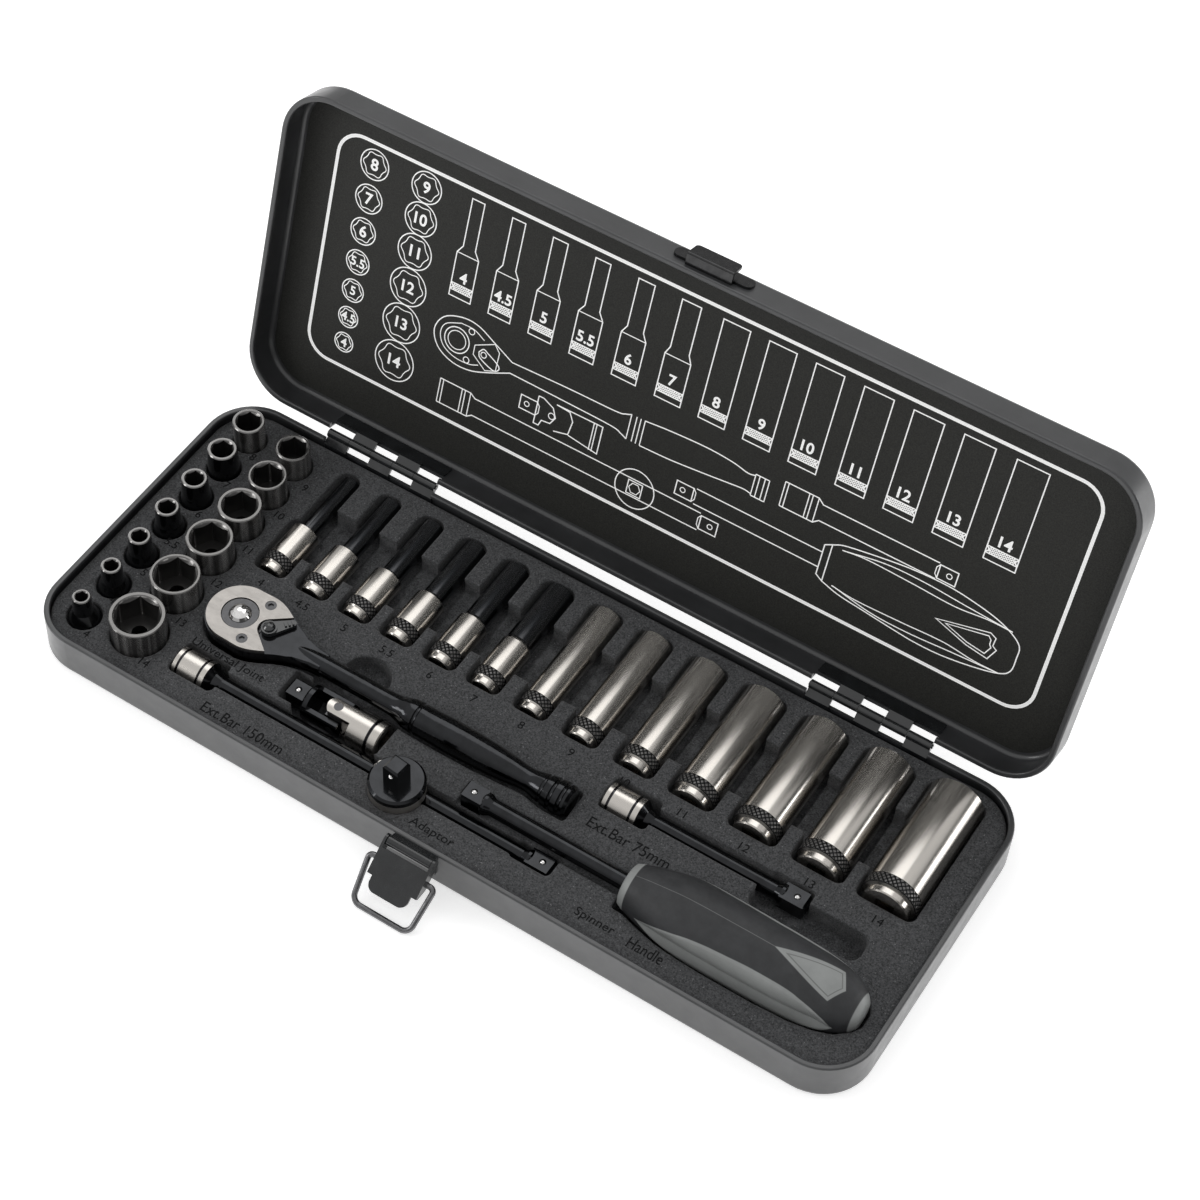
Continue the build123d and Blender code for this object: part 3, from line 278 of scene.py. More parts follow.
def short_socket_finish(size):
    x, y = SHORT_RING[size]
    small = size in SMALL_SIZES
    colour = GLOSS if small else STEEL
    f = Finish("short_socket_" + size, colour, 0.3, 0.85, coat=0.5 if small else 0.0)
    marks = f.noise(2.2, 1, 0.5, (1, 1, 0.03))
    axis = f.distance(x, y)
    top = f.ramp(f.axis("Z"), SHORT_TOP - 0.45, SHORT_TOP - 0.25)
    if small:
        body = f.mix(f.noise(3, 2), scaled(BLACK_METAL, 0.5), scaled(BLACK_METAL, 1.0))
        rough = 0.16
    else:
        body = f.mix(f.ramp(marks, 0.40, 0.66), scaled(STEEL, 0.28), scaled(STEEL, 1.3))
        rough = f.ramp(marks, 0.3, 0.7, 0.16, 0.24)
    shade = f.mix(top, body, scaled(STEEL, 0.40))
    # Inside the hole, below the top, the steel is painted much darker: painted shade.
    bore_shade = f.math("MULTIPLY", f.ramp(axis, NOSE_DIAMETER[size] * 0.42, NOSE_DIAMETER[size] * 0.40),
                  f.ramp(f.axis("Z"), SHORT_TOP - 0.1, SHORT_TOP - 0.7))
    f.colour(f.mix(bore_shade, shade, scaled(STEEL, 0.16)))
    f.roughness(f.blend(bore_shade, rough, 0.30))
    return f.bump(marks, 0.004, 0.5).material


def deep_socket_finish(size):
    small = size in SMALL_SIZES
    f = Finish("deep_socket_" + size, NICKEL, 0.26, 1.0)
    marks = f.noise(0.35, 2, 0.5, (1, 0.04, 1))
    shade = f.mix(f.ramp(marks, 0.3, 0.7), scaled(NICKEL, 0.95), scaled(NICKEL, 1.03))
    rough = f.ramp(marks, 0.3, 0.7, 0.17, 0.22)
    if small:
        nose = f.ramp(f.axis("Y"), DEEP_Y + DEEP_SHOULDER + 0.3, DEEP_Y + DEEP_SHOULDER + 0.9)
        shade = f.mix(nose, shade, scaled(BLACK_METAL, 2.4))
        rough = f.blend(nose, rough, 0.20)
        f.plug(f.shader.inputs["Coat Weight"], nose)
    return f.colour(shade).roughness(rough).material


def knurl_finish(size, x, z, radius):
    """Lighter peaks over black valleys: the colour follows the distance from the socket's axis, a
    painted highlight on the peaks and painted shade in the valleys.
    """
    f = Finish("knurl_" + size, scaled(BLACK_METAL, 0.6), 0.3, 0.8)
    peak_highlight = f.ramp(f.distance(x, z, ("X", "Z")), radius - 0.14, radius - 0.02)
    f.colour(f.mix(peak_highlight, scaled(BLACK_METAL, 0.4), scaled(STEEL, 0.36)))
    return f.bump(f.noise(0.4, 2), 0.004, 0.4).material


def steel_wire():
    f = Finish("steel_wire", (0.16, 0.16, 0.165), 0.28, 1.0)
    f.colour(f.mix(f.noise(3, 3), (0.10, 0.10, 0.105), (0.22, 0.22, 0.225)))
    f.roughness(f.ramp(f.noise(1.2, 3), 0.3, 0.7, 0.2, 0.36))
    return f.bump(f.noise(0.5, 2), 0.006, 0.5).material


def keeper_finish():
    f = Finish("keeper_steel", (0.05, 0.05, 0.05), 0.24, 1.0)
    f.colour(f.mix(f.noise(2.5, 2), (0.035, 0.035, 0.036), (0.075, 0.075, 0.076)))
    f.roughness(f.ramp(f.noise(1.5, 3), 0.3, 0.7, 0.18, 0.28))
    return f.bump(f.noise(0.6, 2), 0.006, 0.5).material


def put(material, *names):
    """Gives CAD nodes a material."""
    for name in names:
        NODES[name].data.materials.clear()
        NODES[name].data.materials.append(material)


def dress_cad():
    case = case_paint()
    put(case, "base_shell", "lid_shell")
    black = gloss_black()
    put(black, "hinge_base_leaves", "hinge_lid_leaves", "hinge_pins", "ratchet_reverse_lever")
    put(gloss_black("latch_black", 0.2, 0.3, 0.5), "latch_bracket", "latch_lever",
        "latch_lever_pin")
    put(steel_wire(), "latch_bail")
    put(keeper_finish(), "latch_keeper")
    put(card_finish(), "lid_card")
    put(black_chrome(), "ratchet_body", "universal_joint_drive_yoke", "spinner_shaft")
    plate = satin_part("cover_plate", PLATE, 0.34, (0.3, 1, 1))
    put(plate, "ratchet_cover_plate")
    put(satin_part("dark_steel", DARK_STEEL, 0.32), "ratchet_cover_screws", "ratchet_pawl",
        "ratchet_drive_gear", "universal_joint_cross")
    chrome = satin_part("bright_chrome", CHROME, 0.08)
    put(chrome, "ratchet_release_button")
    ball = satin_part("ball_steel", CHROME, 0.14)
    put(ball, "ratchet_drive_ball", "extension_bar_150mm_ball", "extension_bar_75mm_ball",
        "universal_joint_ball", "adaptor_ball", "spinner_ball")
    for node, (x, _) in BARS.items():
        grooves = [("X", x + 1.8, x + 2.7), ("X", x + 10.2, x + 11.1)]
        put(black_chrome("plated_" + node, [("X", x - 1, x + BAR_SOCKET_LENGTH)], NICKEL, grooves),
            node)
    put(black_chrome("plated_joint", [("X", -60, -30)], NICKEL, [("X", -36.4, -35.4)]),
        "universal_joint_socket_yoke")
    put(black_chrome("plated_adaptor", [("Z", 12.4, 16.6)], scaled(NICKEL, 1.1), soft=0.4),
        "adaptor_disc")
    for size in SHORT_RING:
        put(short_socket_finish(size), "socket_" + size + "mm")
        put(deep_socket_finish(size), "deep_socket_" + size + "mm")


# ---------------------------------------------------------------- mesh helpers
def piece(name, vertices, faces, material, body, smooth=False):
    """A new piece from points in millimetres, riding on a CAD body."""
    mesh = bpy.data.meshes.new(name)
    mesh.from_pydata([tuple(MM * c for c in v) for v in vertices], [], faces)
    mesh.validate()
    mesh.polygons.foreach_set("use_smooth", [smooth] * len(mesh.polygons))
    mesh.materials.append(material)
    made = bpy.data.objects.new(name, mesh)
    bpy.context.scene.collection.objects.link(made)
    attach(made, body)
    return made


class Sheet:
    """Collects flat shapes drawn in one plane, with a small thickness below it."""

    def __init__(self):
        self.points = []
        self.faces = []

    def add(self, points, faces):
        start = len(self.points)
        self.points += points
        self.faces += [tuple(start + i for i in face) for face in faces]

    def line(self, points, width, closed=False):
        """A ribbon of that width along a polyline, with mitred corners."""
        line = [Vector(p) for p in points]
        count = len(line)
        sides = []
        for i, here in enumerate(line):
            before = line[i - 1] if closed or i else None
            after = line[(i + 1) % count] if closed or i < count - 1 else None
            into = (here - before).normalized() if before is not None else None
            out = (after - here).normalized() if after is not None else None
            into = into if into is not None else out
            out = out if out is not None else into
            normal = Vector((-(into.y + out.y), into.x + out.x))
            normal = normal.normalized() if normal.length > 1e-6 else Vector((-into.y, into.x))
            reach = width / 2 / max(0.45, normal.dot(Vector((-out.y, out.x))))
            sides.append((here + normal * reach, here - normal * reach))
        ribbon = [tuple(p) for pair in sides for p in pair]
        last = count if closed else count - 1
        faces = []
        for i in range(last):
            j = (i + 1) % count
            faces.append((2 * i, 2 * i + 1, 2 * j + 1, 2 * j))
        self.add(ribbon, faces)

    def circle(self, x, y, radius, width, sides=40):
        self.line([(x + radius * math.cos(2 * math.pi * i / sides),
                    y + radius * math.sin(2 * math.pi * i / sides)) for i in range(sides)],
                  width, True)

    def text(self, words, centre, width=None, height=None, bold=0.0):
        """Plain lettering, stretched to a width or height and centred on a point."""
        curve = bpy.data.curves.new("lettering", "FONT")
        curve.body = words
        curve.resolution_u = 4
        curve.offset = bold
        holder = bpy.data.objects.new("lettering", curve)
        bpy.context.scene.collection.objects.link(holder)
        bpy.context.view_layer.update()
        graph = bpy.context.evaluated_depsgraph_get()
        mesh = bpy.data.meshes.new_from_object(holder.evaluated_get(graph))
        points = np.array([v.co[:2] for v in mesh.vertices])
        faces = [tuple(p.vertices) for p in mesh.polygons]
        bpy.data.objects.remove(holder)
        bpy.data.curves.remove(curve)
        bpy.data.meshes.remove(mesh)
        low, high = points.min(0), points.max(0)
        size = high - low
        tall = (height / size[1]) if height else width / size[0]
        wide = (width / size[0]) if width else tall
        points = (points - (low + high) / 2) * (wide, tall) + centre
        self.add([tuple(p) for p in points], faces)

    def solid(self, place, thickness):
        """The shapes as thin solids. place(x, y, depth) gives a point in the row frame."""
        flat = [tuple(p) for p in self.points]
        top = [place(x, y, 0.0) for x, y in flat]
        low = [place(x, y, thickness) for x, y in flat]
        count = len(flat)
        faces = list(self.faces) + [tuple(count + i for i in reversed(f)) for f in self.faces]
        edges = {}
        for face in self.faces:
            for a, b in zip(face, face[1:] + face[:1]):
                edges[(a, b)] = edges.get((a, b), 0) + 1
        for a, b in edges:
            if (b, a) not in edges:
                faces.append((b, a, count + a, count + b))
        return top + low, faces


def opened(x, y, z):
    """A point of the shut lid, turned open about the hinge."""
    angle = math.radians(-LID_OPEN_ANGLE)
    dy, dz = y - HINGE_Y, z - HINGE_Z
    return (x, HINGE_Y + dy * math.cos(angle) - dz * math.sin(angle),
            HINGE_Z + dy * math.sin(angle) + dz * math.cos(angle))


# ---------------------------------------------------------------- foam tray
FOAM_VOXEL = 0.62
WALL_WOBBLE = 0.42
TOP_WOBBLE = 0.06


def foam_tray(finish):
    """The tray again, remeshed finely so that its cut edges can waver like cut foam."""
    source = NODES["foam_tray"]
    rough = bpy.data.objects.new("foam_rough", source.data.copy())
    bpy.context.scene.collection.objects.link(rough)
    remesh = rough.modifiers.new("voxels", "REMESH")
    remesh.mode = "VOXEL"
    remesh.voxel_size = FOAM_VOXEL * MM
    bpy.context.view_layer.update()
    graph = bpy.context.evaluated_depsgraph_get()
    mesh = bpy.data.meshes.new_from_object(rough.evaluated_get(graph))
    bpy.data.objects.remove(rough)
    count = len(mesh.vertices)
    points = np.empty(count * 3, np.float32)
    normals = np.empty(count * 3, np.float32)
    mesh.vertices.foreach_get("co", points)
    mesh.vertex_normals.foreach_get("vector", normals)
    points = points.reshape(-1, 3).astype(float) / MM
    normals = normals.reshape(-1, 3).astype(float)
    broad = np.array([noise.noise(Vector(p) / 2.3) for p in points])
    fine = np.array([noise.noise(Vector(p) / 0.9 + Vector((7, 3, 5))) for p in points])
    steep = np.clip(1 - np.abs(normals[:, 2]) * 1.4, 0, 1)
    near_top = np.clip((points[:, 2] - 6) / 4, 0, 1)
    inward = WALL_WOBBLE * (0.45 + 0.55 * broad) + 0.16 * (0.5 + fine)
    points -= normals * (inward * steep * (0.35 + 0.65 * near_top))[:, None]
    level = np.clip(normals[:, 2], 0, 1)
    sunk = np.clip((FOAM_TOP - 2 - points[:, 2]) / 2, 0, 1)
    points[:, 2] += level * (TOP_WOBBLE * fine * (1 - sunk) + 0.28 * fine * sunk)
    points[:, 2] = np.clip(points[:, 2], 0.9, FOAM_TOP + 0.08)
    mesh.vertices.foreach_set("co", (points * MM).astype(np.float32).ravel())
    mesh.polygons.foreach_set("use_smooth", [True] * len(mesh.polygons))
    mesh.materials.clear()
    mesh.materials.append(finish)
    mesh.name = "foam_cut"
    tray = bpy.data.objects.new("foam_cut", mesh)
    bpy.context.scene.collection.objects.link(tray)
    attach(tray, "base")
    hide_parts("foam_tray")


LABEL_DROP = {"11": 8.2, "12": 8.6, "13": 9.4, "14": 9.0}  # below the wide short sockets
TOOL_LABELS = (("Universal Joint", -107.8, -78.4, -35.3), ("Ext.Bar 150mm", -88.8, -56.2, -54.8),
               ("Adaptor", -5.9, 10.9, -53.8), ("Ext.Bar 75mm", 42.1, 72.6, -21.5),
               ("Spinner", 56.6, 71.0, -52.6), ("Handle", 76.5, 89.2, -52.6))
NUMERAL_HEIGHT, LETTER_HEIGHT = 3.1, 4.1
LABEL_LIFT, LABEL_THICKNESS = 0.09, 0.12


def foam_labels(finish):
    """Generic size numerals and tool descriptions as thin near-black sheets at the foam's top:
    painted shade standing in for lettering pressed into the foam.
    """
    sheet = Sheet()
    for size, x in DEEP_X.items():
        sheet.text(size.replace("_", "."), (x + 1.1, -2.2), height=NUMERAL_HEIGHT)
    for size, (x, y) in SHORT_RING.items():
        drop = LABEL_DROP.get(size, 5.9)
        sheet.text(size.replace("_", "."), (x + (5.6 if x < -130 else 9.0), y - drop),
                   height=NUMERAL_HEIGHT)
    for words, x0, x1, y in TOOL_LABELS:
        sheet.text(words, ((x0 + x1) / 2, y), width=x1 - x0, height=LETTER_HEIGHT)
    vertices, faces = sheet.solid(lambda x, y, d: (x, y, FOAM_TOP + LABEL_LIFT - d),
                                  LABEL_THICKNESS)
    piece("foam_labels", vertices, faces, finish, "base")


# ---------------------------------------------------------------- print on the lid card
FINE = 0.42
BORDER = 1.25
BORDER_EDGES = (-143.4, 144.6, -46.8, 43.7)
BORDER_RADIUS = 9.3
PRINT_LIFT, PRINT_THICKNESS = 0.05, 0.045
NUMERAL_Y = -13.0                # on the deep sockets of the card
CARD_CIRCLES = {"8": (-128.5, -38.7, 5.65), "7": (-128.5, -25.2, 5.4), "6": (-128.5, -12.2, 5.05),
                "5.5": (-128.5, 0.4, 4.7), "5": (-128.5, 12.1, 4.4), "4.5": (-128.5, 23.2, 4.05),
                "4": (-128.5, 33.8, 3.8), "9": (-107.3, -39.4, 5.9), "10": (-107.3, -27.0, 6.3),
                "11": (-107.3, -14.0, 6.75), "12": (-107.3, 0.3, 7.3), "13": (-107.3, 15.3, 7.6),
                "14": (-107.3, 31.05, 7.95)}
CARD_DEEP = (("4", -87.0, 4.9, 8.7), ("4.5", -70.9, 5.2, 8.8), ("5", -54.5, 5.8, 9.2),
             ("5.5", -37.9, 5.8, 9.5), ("6", -21.1, 6.2, 9.5), ("7", -4.0, 7.2, 9.9),
             ("8", 13.0, 10.0, 10.0), ("9", 30.1, 10.1, 10.1), ("10", 47.4, 10.3, 10.3),
             ("11", 65.1, 10.6, 10.6), ("12", 82.9, 10.8, 10.8), ("13", 100.9, 11.0, 11.0),
             ("14", 119.4, 11.3, 11.3))


def rounded(x0, x1, y0, y1, radius, steps=8):
    """Corner points of a rounded rectangle."""
    made = []
    for cx, cy, start in ((x1 - radius, y1 - radius, 0), (x0 + radius, y1 - radius, 90),
                          (x0 + radius, y0 + radius, 180), (x1 - radius, y0 + radius, 270)):
        for i in range(steps + 1):
            angle = math.radians(start + 90 * i / steps)
            made.append((cx + radius * math.cos(angle), cy + radius * math.sin(angle)))
    return made


def smooth(points, steps=6):
    """A Catmull-Rom line through the points."""
    line = [Vector(p) for p in points]
    line = [2 * line[0] - line[1]] + line + [2 * line[-1] - line[-2]]
    made = []
    for i in range(1, len(line) - 2):
        a, b, c, d = line[i - 1:i + 3]
        for k in range(steps):
            t = k / steps
            made.append(0.5 * (2 * b + (c - a) * t + (2 * a - 5 * b + 4 * c - d) * t * t
                               + (3 * b - a - 3 * c + d) * t ** 3))
    made.append(line[-2])
    return [tuple(p) for p in made]


def socket_end_symbol(s, x, y, radius):
    """A short socket seen from its open end: its rim and the six-cornered hole."""
    s.circle(x, y, radius, FINE)
    inner = []
    for i in range(72):
        angle = 2 * math.pi * i / 72
        wave = (1 + math.cos(6 * angle)) / 2
        reach = radius * (0.70 + 0.13 * wave ** 1.4)
        inner.append((x + reach * math.cos(angle), y + reach * math.sin(angle)))
    s.line(inner, FINE * 0.8, True)


def deep_symbol(s, x, nose, body):
    """A deep socket from the side, with a shoulder where the nose is thinner."""
    top, shoulder, taper = -43.5, -21.8, 3.0
    knurl_top, knurl_low, bottom = -9.8, -7.1, -4.7
    outline = [(x - body / 2, bottom), (x - body / 2, shoulder)]
    if nose < body:
        outline += [(x - nose / 2, shoulder - taper)]
    outline += [(x - nose / 2, top), (x + nose / 2, top)]
    if nose < body:
        outline += [(x + nose / 2, shoulder - taper)]
    outline += [(x + body / 2, shoulder), (x + body / 2, bottom)]
    s.line(outline, FINE, True)
    if nose < body:
        s.line([(x - body / 2, shoulder), (x + body / 2, shoulder)], FINE * 0.8)
    for y in (knurl_top, knurl_low):
        s.line([(x - body / 2, y), (x + body / 2, y)], FINE * 0.9)
    step = 0.9
    for lean in (-1, 1):
        count = int(body / step)
        for i in range(count):
            at = x - body / 2 + (i + 0.5) * body / count
            dx = lean * (knurl_low - knurl_top) / 2
            ends = [(max(x - body / 2, min(x + body / 2, at - dx)), knurl_top),
                    (max(x - body / 2, min(x + body / 2, at + dx)), knurl_low)]
            s.line(ends, 0.3)


def bar_symbol(s, x0, x1, y, half_end, half_shaft):
    """An extension bar from the side; its socket end is at x0."""
    for dx in (0, 1.3, 9.1, 10.4, 12.6):
        s.line([(x0 + dx, y - half_end), (x0 + dx, y + half_end)], FINE * 0.9)
    for side in (-1, 1):
        s.line([(x0, y + side * half_end), (x0 + 12.6, y + side * half_end),
                (x0 + 14.6, y + side * half_shaft), (x1 - 7, y + side * half_shaft)], FINE)
    square_tip(s, x1 - 6.6, y, 1)


def square_tip(s, x, y, direction):
    """The square drive with its ball, starting at x."""
    half = 2.7
    ends = sorted((x, x + 6.6 * direction))
    s.line([(ends[0], y - half), (ends[1], y - half), (ends[1], y + half), (ends[0], y + half)],
           FINE, True)
    s.circle(x + 3.9 * direction, y, 0.95, FINE * 0.8, 20)
    neck = x - 1.0 * direction
    s.line([(x, y - half), (neck, y - half * 0.5), (neck, y + half * 0.5), (x, y + half)],
           FINE * 0.8)


def card_print(finish):
    s = Sheet()
    s.line(rounded(*BORDER_EDGES, BORDER_RADIUS), BORDER, True)
    for words, (x, y, radius) in CARD_CIRCLES.items():
        socket_end_symbol(s, x, y, radius)
    for words, x, nose, body in CARD_DEEP:
        deep_symbol(s, x, nose, body)
    ratchet_symbol(s)
    bar_symbol(s, -88.0, 25.0, 33.5, 4.9, 3.5)
    joint_symbol(s)
    s.circle(-7.5, 33.6, 7.6, FINE)
    s.line([(-10.3, 30.9), (-4.8, 30.9), (-4.8, 36.3), (-10.3, 36.3)], FINE, True)
    s.circle(-7.5, 33.6, 2.2, FINE * 0.8, 6)
    bar_symbol(s, 43.6, 108.2, 7.8, 4.9, 3.2)
    spinner_symbol(s)
    for words, (x, y, radius) in CARD_CIRCLES.items():
        lettering(s, words, x, y, 4.6 if radius > 5 else 3.6)
    for words, x, nose, body in CARD_DEEP:
        lettering(s, words, x, NUMERAL_Y, 4.3)
    vertices, faces = s.solid(lambda x, y, d: opened(x, y, CARD_Z - PRINT_LIFT + d),
                              PRINT_THICKNESS)
    piece("card_print", vertices, faces, finish, "lid")


def lettering(sheet, words, x, y, height):
    """A bold numeral, upright for a viewer in front of the open lid."""
    part = Sheet()
    part.text(words, (0, 0), height=height, bold=0.022)
    sheet.add([(x + a, y - b) for a, b in part.points], [tuple(reversed(f)) for f in part.faces])


def ratchet_symbol(s):
    head = [(-62.4, 9.2), (-70.2, 5.3), (-77.7, 1.8), (-84.4, 1.6), (-91.3, 4.6), (-94.2, 10.8),
            (-91.6, 17.0), (-85.1, 20.3), (-77.6, 20.2), (-69.8, 17.2), (-62.4, 13.6)]
    s.line(smooth(head), FINE)
    s.line(smooth([(-84.3, 3.9), (-90.2, 6.9), (-91.6, 11.2), (-89.6, 15.6), (-84.6, 18.0),
                   (-78.6, 18.0), (-74.9, 16.6)]), FINE * 0.8)
    s.line(smooth([(-84.3, 3.9), (-79.0, 4.0), (-74.4, 6.2)]), FINE * 0.8)
    s.line([(-77.6, 9.6), (-77.6, 13.4), (-72.0, 17.4), (-68.0, 15.7), (-67.8, 8.2), (-70.1, 5.6),
            (-77.6, 9.6)], FINE * 0.8)
    s.circle(-84.8, 11.1, 5.0, FINE, 32)
    s.circle(-84.8, 11.1, 3.6, FINE * 0.8, 32)
    for y in (5.2, 16.9):
        s.circle(-79.8, y, 1.15, FINE * 0.8, 18)
    s.line(smooth([(-75.6, 11.4), (-74.0, 9.6), (-72.0, 10.4), (-67.4, 13.0), (-67.0, 14.8),
                   (-69.2, 15.8), (-74.6, 13.6), (-75.6, 11.4)]), FINE)
    s.circle(-73.6, 11.8, 1.1, FINE * 0.8, 18)
    upper = [(-62.4, 9.2), (-40, 8.4), (-21.2, 8.1), (-17.0, 7.2), (-15.0, 6.4)]
    lower = [(-62.4, 13.6), (-40, 13.9), (-21.6, 14.3), (-17.2, 15.4), (-15.0, 16.4)]
    s.line(smooth(upper), FINE)
    s.line(smooth(lower), FINE)
    for x in (-15.0, -12.9, -11.3, -9.7):
        s.line([(x, 6.3), (x, 16.4)], FINE * 0.9)
    grip_top = [(-9.7, 6.3), (0, 5.4), (14, 4.8), (24, 5.4), (30, 6.6), (33, 6.2)]
    grip_low = [(-9.7, 16.4), (2, 16.0), (14, 14.9), (24, 13.8), (30, 13.2), (33, 13.6)]
    s.line(smooth(grip_top), FINE)
    s.line(smooth(grip_low), FINE)
    for x in (33.0, 34.6, 36.6, 38.2):
        s.line([(x, 5.6), (x, 14.2)], FINE * 0.9)
    s.line([(33.0, 5.6), (38.2, 5.6)], FINE)
    s.line([(33.0, 14.2), (38.2, 14.2)], FINE)


def joint_symbol(s):
    y = 22.0
    square_tip(s, -49.8, y, -1)
    s.line([(-49.8, y - 5.4), (-47.8, y - 5.4), (-43.6, y - 3.4), (-42.0, y), (-43.6, y + 3.0),
            (-47.0, y + 3.4), (-47.8, y + 5.8), (-49.8, y + 5.8), (-49.8, y - 5.4)], FINE)
    s.circle(-43.6, y, 1.2, FINE * 0.8, 18)
    s.line([(-42.6, y - 5.4), (-37.2, y - 5.0), (-35.4, y - 1.8), (-36.2, y + 3.8),
            (-41.8, y + 5.2)], FINE)
    s.line([(-42.6, y - 5.4), (-24.1, y - 5.6), (-24.1, y + 5.6), (-36.0, y + 4.0)], FINE)
    for x in (-27.5, -26.4):
        s.line([(x, y - 5.5), (x, y + 5.6)], FINE * 0.9)


def spinner_symbol(s):
    y = 24.8
    square_tip(s, 13.4, y, -1)
    for side in (-1, 1):
        s.line([(14.4, y + side * 3.1), (62.6, y + side * 3.1)], FINE)
    s.line([(62.6, 18.6), (62.6, 30.8), (65.2, 32.4), (65.2, 17.2), (62.6, 18.6)], FINE)
    body = [(65.2, 17.2), (70.3, 15.2), (87.2, 12.4), (98, 11.4), (108, 11.4), (117, 12.6),
            (125, 14.4), (131, 17.0), (134.6, 20.2), (135.0, 24.8), (134.6, 30.4), (131.1, 33.4),
            (122, 35.8), (111.1, 37.4), (102, 37.6), (94.4, 37.0), (82, 35.6), (72.1, 34.4),
            (65.2, 32.4)]
    s.line(smooth(body), FINE)
    for side in (-1, 1):
        edge = [(68.9, y + side * 7.4), (78.0, y + side * 8.4), (95.1, y + side * 8.0),
                (110.3, y + side * 7.4), (122, y + side * 8.6), (131.0, y + side * 8.6)]
        s.line(smooth(edge), FINE * 0.9)
        s.line(smooth([(69.4, y + side * 7.4), (84, y + side * 10.2), (98, y + side * 10.6),
                       (114, y + side * 9.6), (131.0, y + side * 8.6)]), FINE * 0.9)
    for grow in (0.0, 1.4):
        s.line([(105.7 + 2.6 * grow, 25.0), (124.4 - 0.2 * grow, 20.3 + grow),
                (126.6 - grow, 21.4 + grow), (126.4 - 0.8 * grow, 24.6), (128.0 - 1.4 * grow, 25.6),
                (126.0 - grow, 30.2 - grow), (117.9, 29.0 - 0.8 * grow)], FINE * 0.9, True)


# ---------------------------------------------------------------- knurled bands
KNURL_FROM, KNURL_TO = 2.9, 6.9  # from the drive end
KNURL_HEIGHT = 0.22
KNURL_PITCH = 0.9
KNURL_SINK = 0.28                # of the band's ends, below the socket's skin
KNURL_FOOT = 0.05                # of the valleys, above those ends
KNURL_STEPS, KNURL_ROWS = 5, 17  # mesh steps round one diamond, and along the band
DEEP_Z = 10.2                    # axis of the slimmer deep sockets
SEAT_GAP = 0.15                  # under the wider ones


def triangle(value):
    """A wave between 0 and 1 with straight sides."""
    return abs(2 * (value - math.floor(value + 0.5)))


def knurl_band(size):
    """Diamond knurling round a deep socket near its drive end."""
    radius = max(NOSE_DIAMETER[size], DRIVE_END_DIAMETER) / 2
    centre = max(DEEP_Z, FOAM_FLOOR + SEAT_GAP + radius)
    diamonds = round(2 * math.pi * radius / KNURL_PITCH)
    around, along = diamonds * KNURL_STEPS, KNURL_ROWS
    vertices = []
    for j in range(along + 1):
        y = KNURL_FROM + (KNURL_TO - KNURL_FROM) * j / along
        for i in range(around):
            u, v = i / KNURL_STEPS, (y - KNURL_FROM) / KNURL_PITCH
            high = min(triangle(u / 2 + v / 2), triangle(u / 2 - v / 2)) * 2
            edge = 0.0 if j in (0, along) else 1.0
            reach = radius - KNURL_SINK + edge * (KNURL_FOOT + KNURL_HEIGHT * min(1.0, high))
            angle = 2 * math.pi * i / around
            vertices.append((DEEP_X[size] + reach * math.cos(angle), DEEP_Y + y,
                             centre + reach * math.sin(angle)))
    faces = []
    for j in range(along):
        for i in range(around):
            k = (i + 1) % around
            faces.append((j * around + i, (j + 1) * around + i, (j + 1) * around + k,
                          j * around + k))
    finish = knurl_finish(size, DEEP_X[size], centre, radius)
    piece("knurl_" + size + "mm", vertices, faces, finish, "deep_socket_" + size + "mm")


# ---------------------------------------------------------------- spinner handle
HANDLE_PROFILE = ((65.8, 0.0), (65.8, 6.6), (66.1, 7.3), (67.0, 7.9), (69.5, 8.6), (72.5, 9.6),
                  (76, 10.5), (80, 11.5), (84, 12.3), (88, 12.8), (93, 13.1), (98, 13.25),
                  (104, 13.3), (112, 13.3), (121, 13.2), (127, 12.95), (132, 12.5), (136, 11.95),
                  (140, 11.2), (143.5, 10.2), (146.5, 8.8), (149, 7.1), (150.6, 5.4),
                  (151.3, 3.6), (151.5, 0.0))
HANDLE_TURN = 5.0                # the handle is turned this far, in degrees
LEAF_CENTRE = 82.0               # the grey leaves sit this far round from the top
LEAF = ((74, 0.0), (80, 13.0), (88, 25.0), (97.6, 34.0), (107.5, 37.5), (117.3, 39.5),
        (127.3, 38.5), (133.7, 33.0), (140, 22.0), (145.3, 0.0))
BADGE_POINT, BADGE_END, BADGE_TIP = 118.9, 142.0, 144.2
BADGE_HALF = 33.0
DEGREE_WIDTH = 0.2               # of the handle's skin near the badge
GROOVE_DEPTH = 1.7
GROOVE_LOW, GROOVE_VALLEY, GROOVE_HIGH = -0.87, -0.10, 0.72  # across half a leaf


def step_between(x, table):
    return float(np.interp(x, [a for a, _ in table], [b for _, b in table]))


def handle_offset(x, angle):
    """How far the handle's skin stands in from the turned shape, at an angle from the top."""
    inset = 0.0
    turned = (angle - HANDLE_TURN + 180) % 360 - 180
    for side in (-1, 1):
        away = turned * side - LEAF_CENTRE
        half = step_between(x, LEAF)
        if half > 4 and abs(away) < half:
            low, valley, high = (share * half for share in
                                 (GROOVE_LOW, GROOVE_VALLEY, GROOVE_HIGH))
            if low < away <= valley:
                inset += GROOVE_DEPTH * min(1, half / 25) * (away - low) / (valley - low)
            elif valley < away < high:
                inset += GROOVE_DEPTH * min(1, half / 25) * (high - away) / (high - valley)
    for top in (0, 180):
        away = (turned - top + 180) % 360 - 180
        if badge_inside(x, away, 0.86):
            inset += 0.16
    dent = math.exp(-((x - 80.5) / 3.4) ** 2 - ((turned - 20) / 15) ** 2)
    dent += math.exp(-((x - 80.5) / 3.4) ** 2 - ((turned + 20) / 15) ** 2)
    crease = math.exp(-((turned - 6) / 5) ** 2) * max(0, 1 - abs(x - 103) / 13)
    return inset + 0.45 * dent + 0.22 * crease


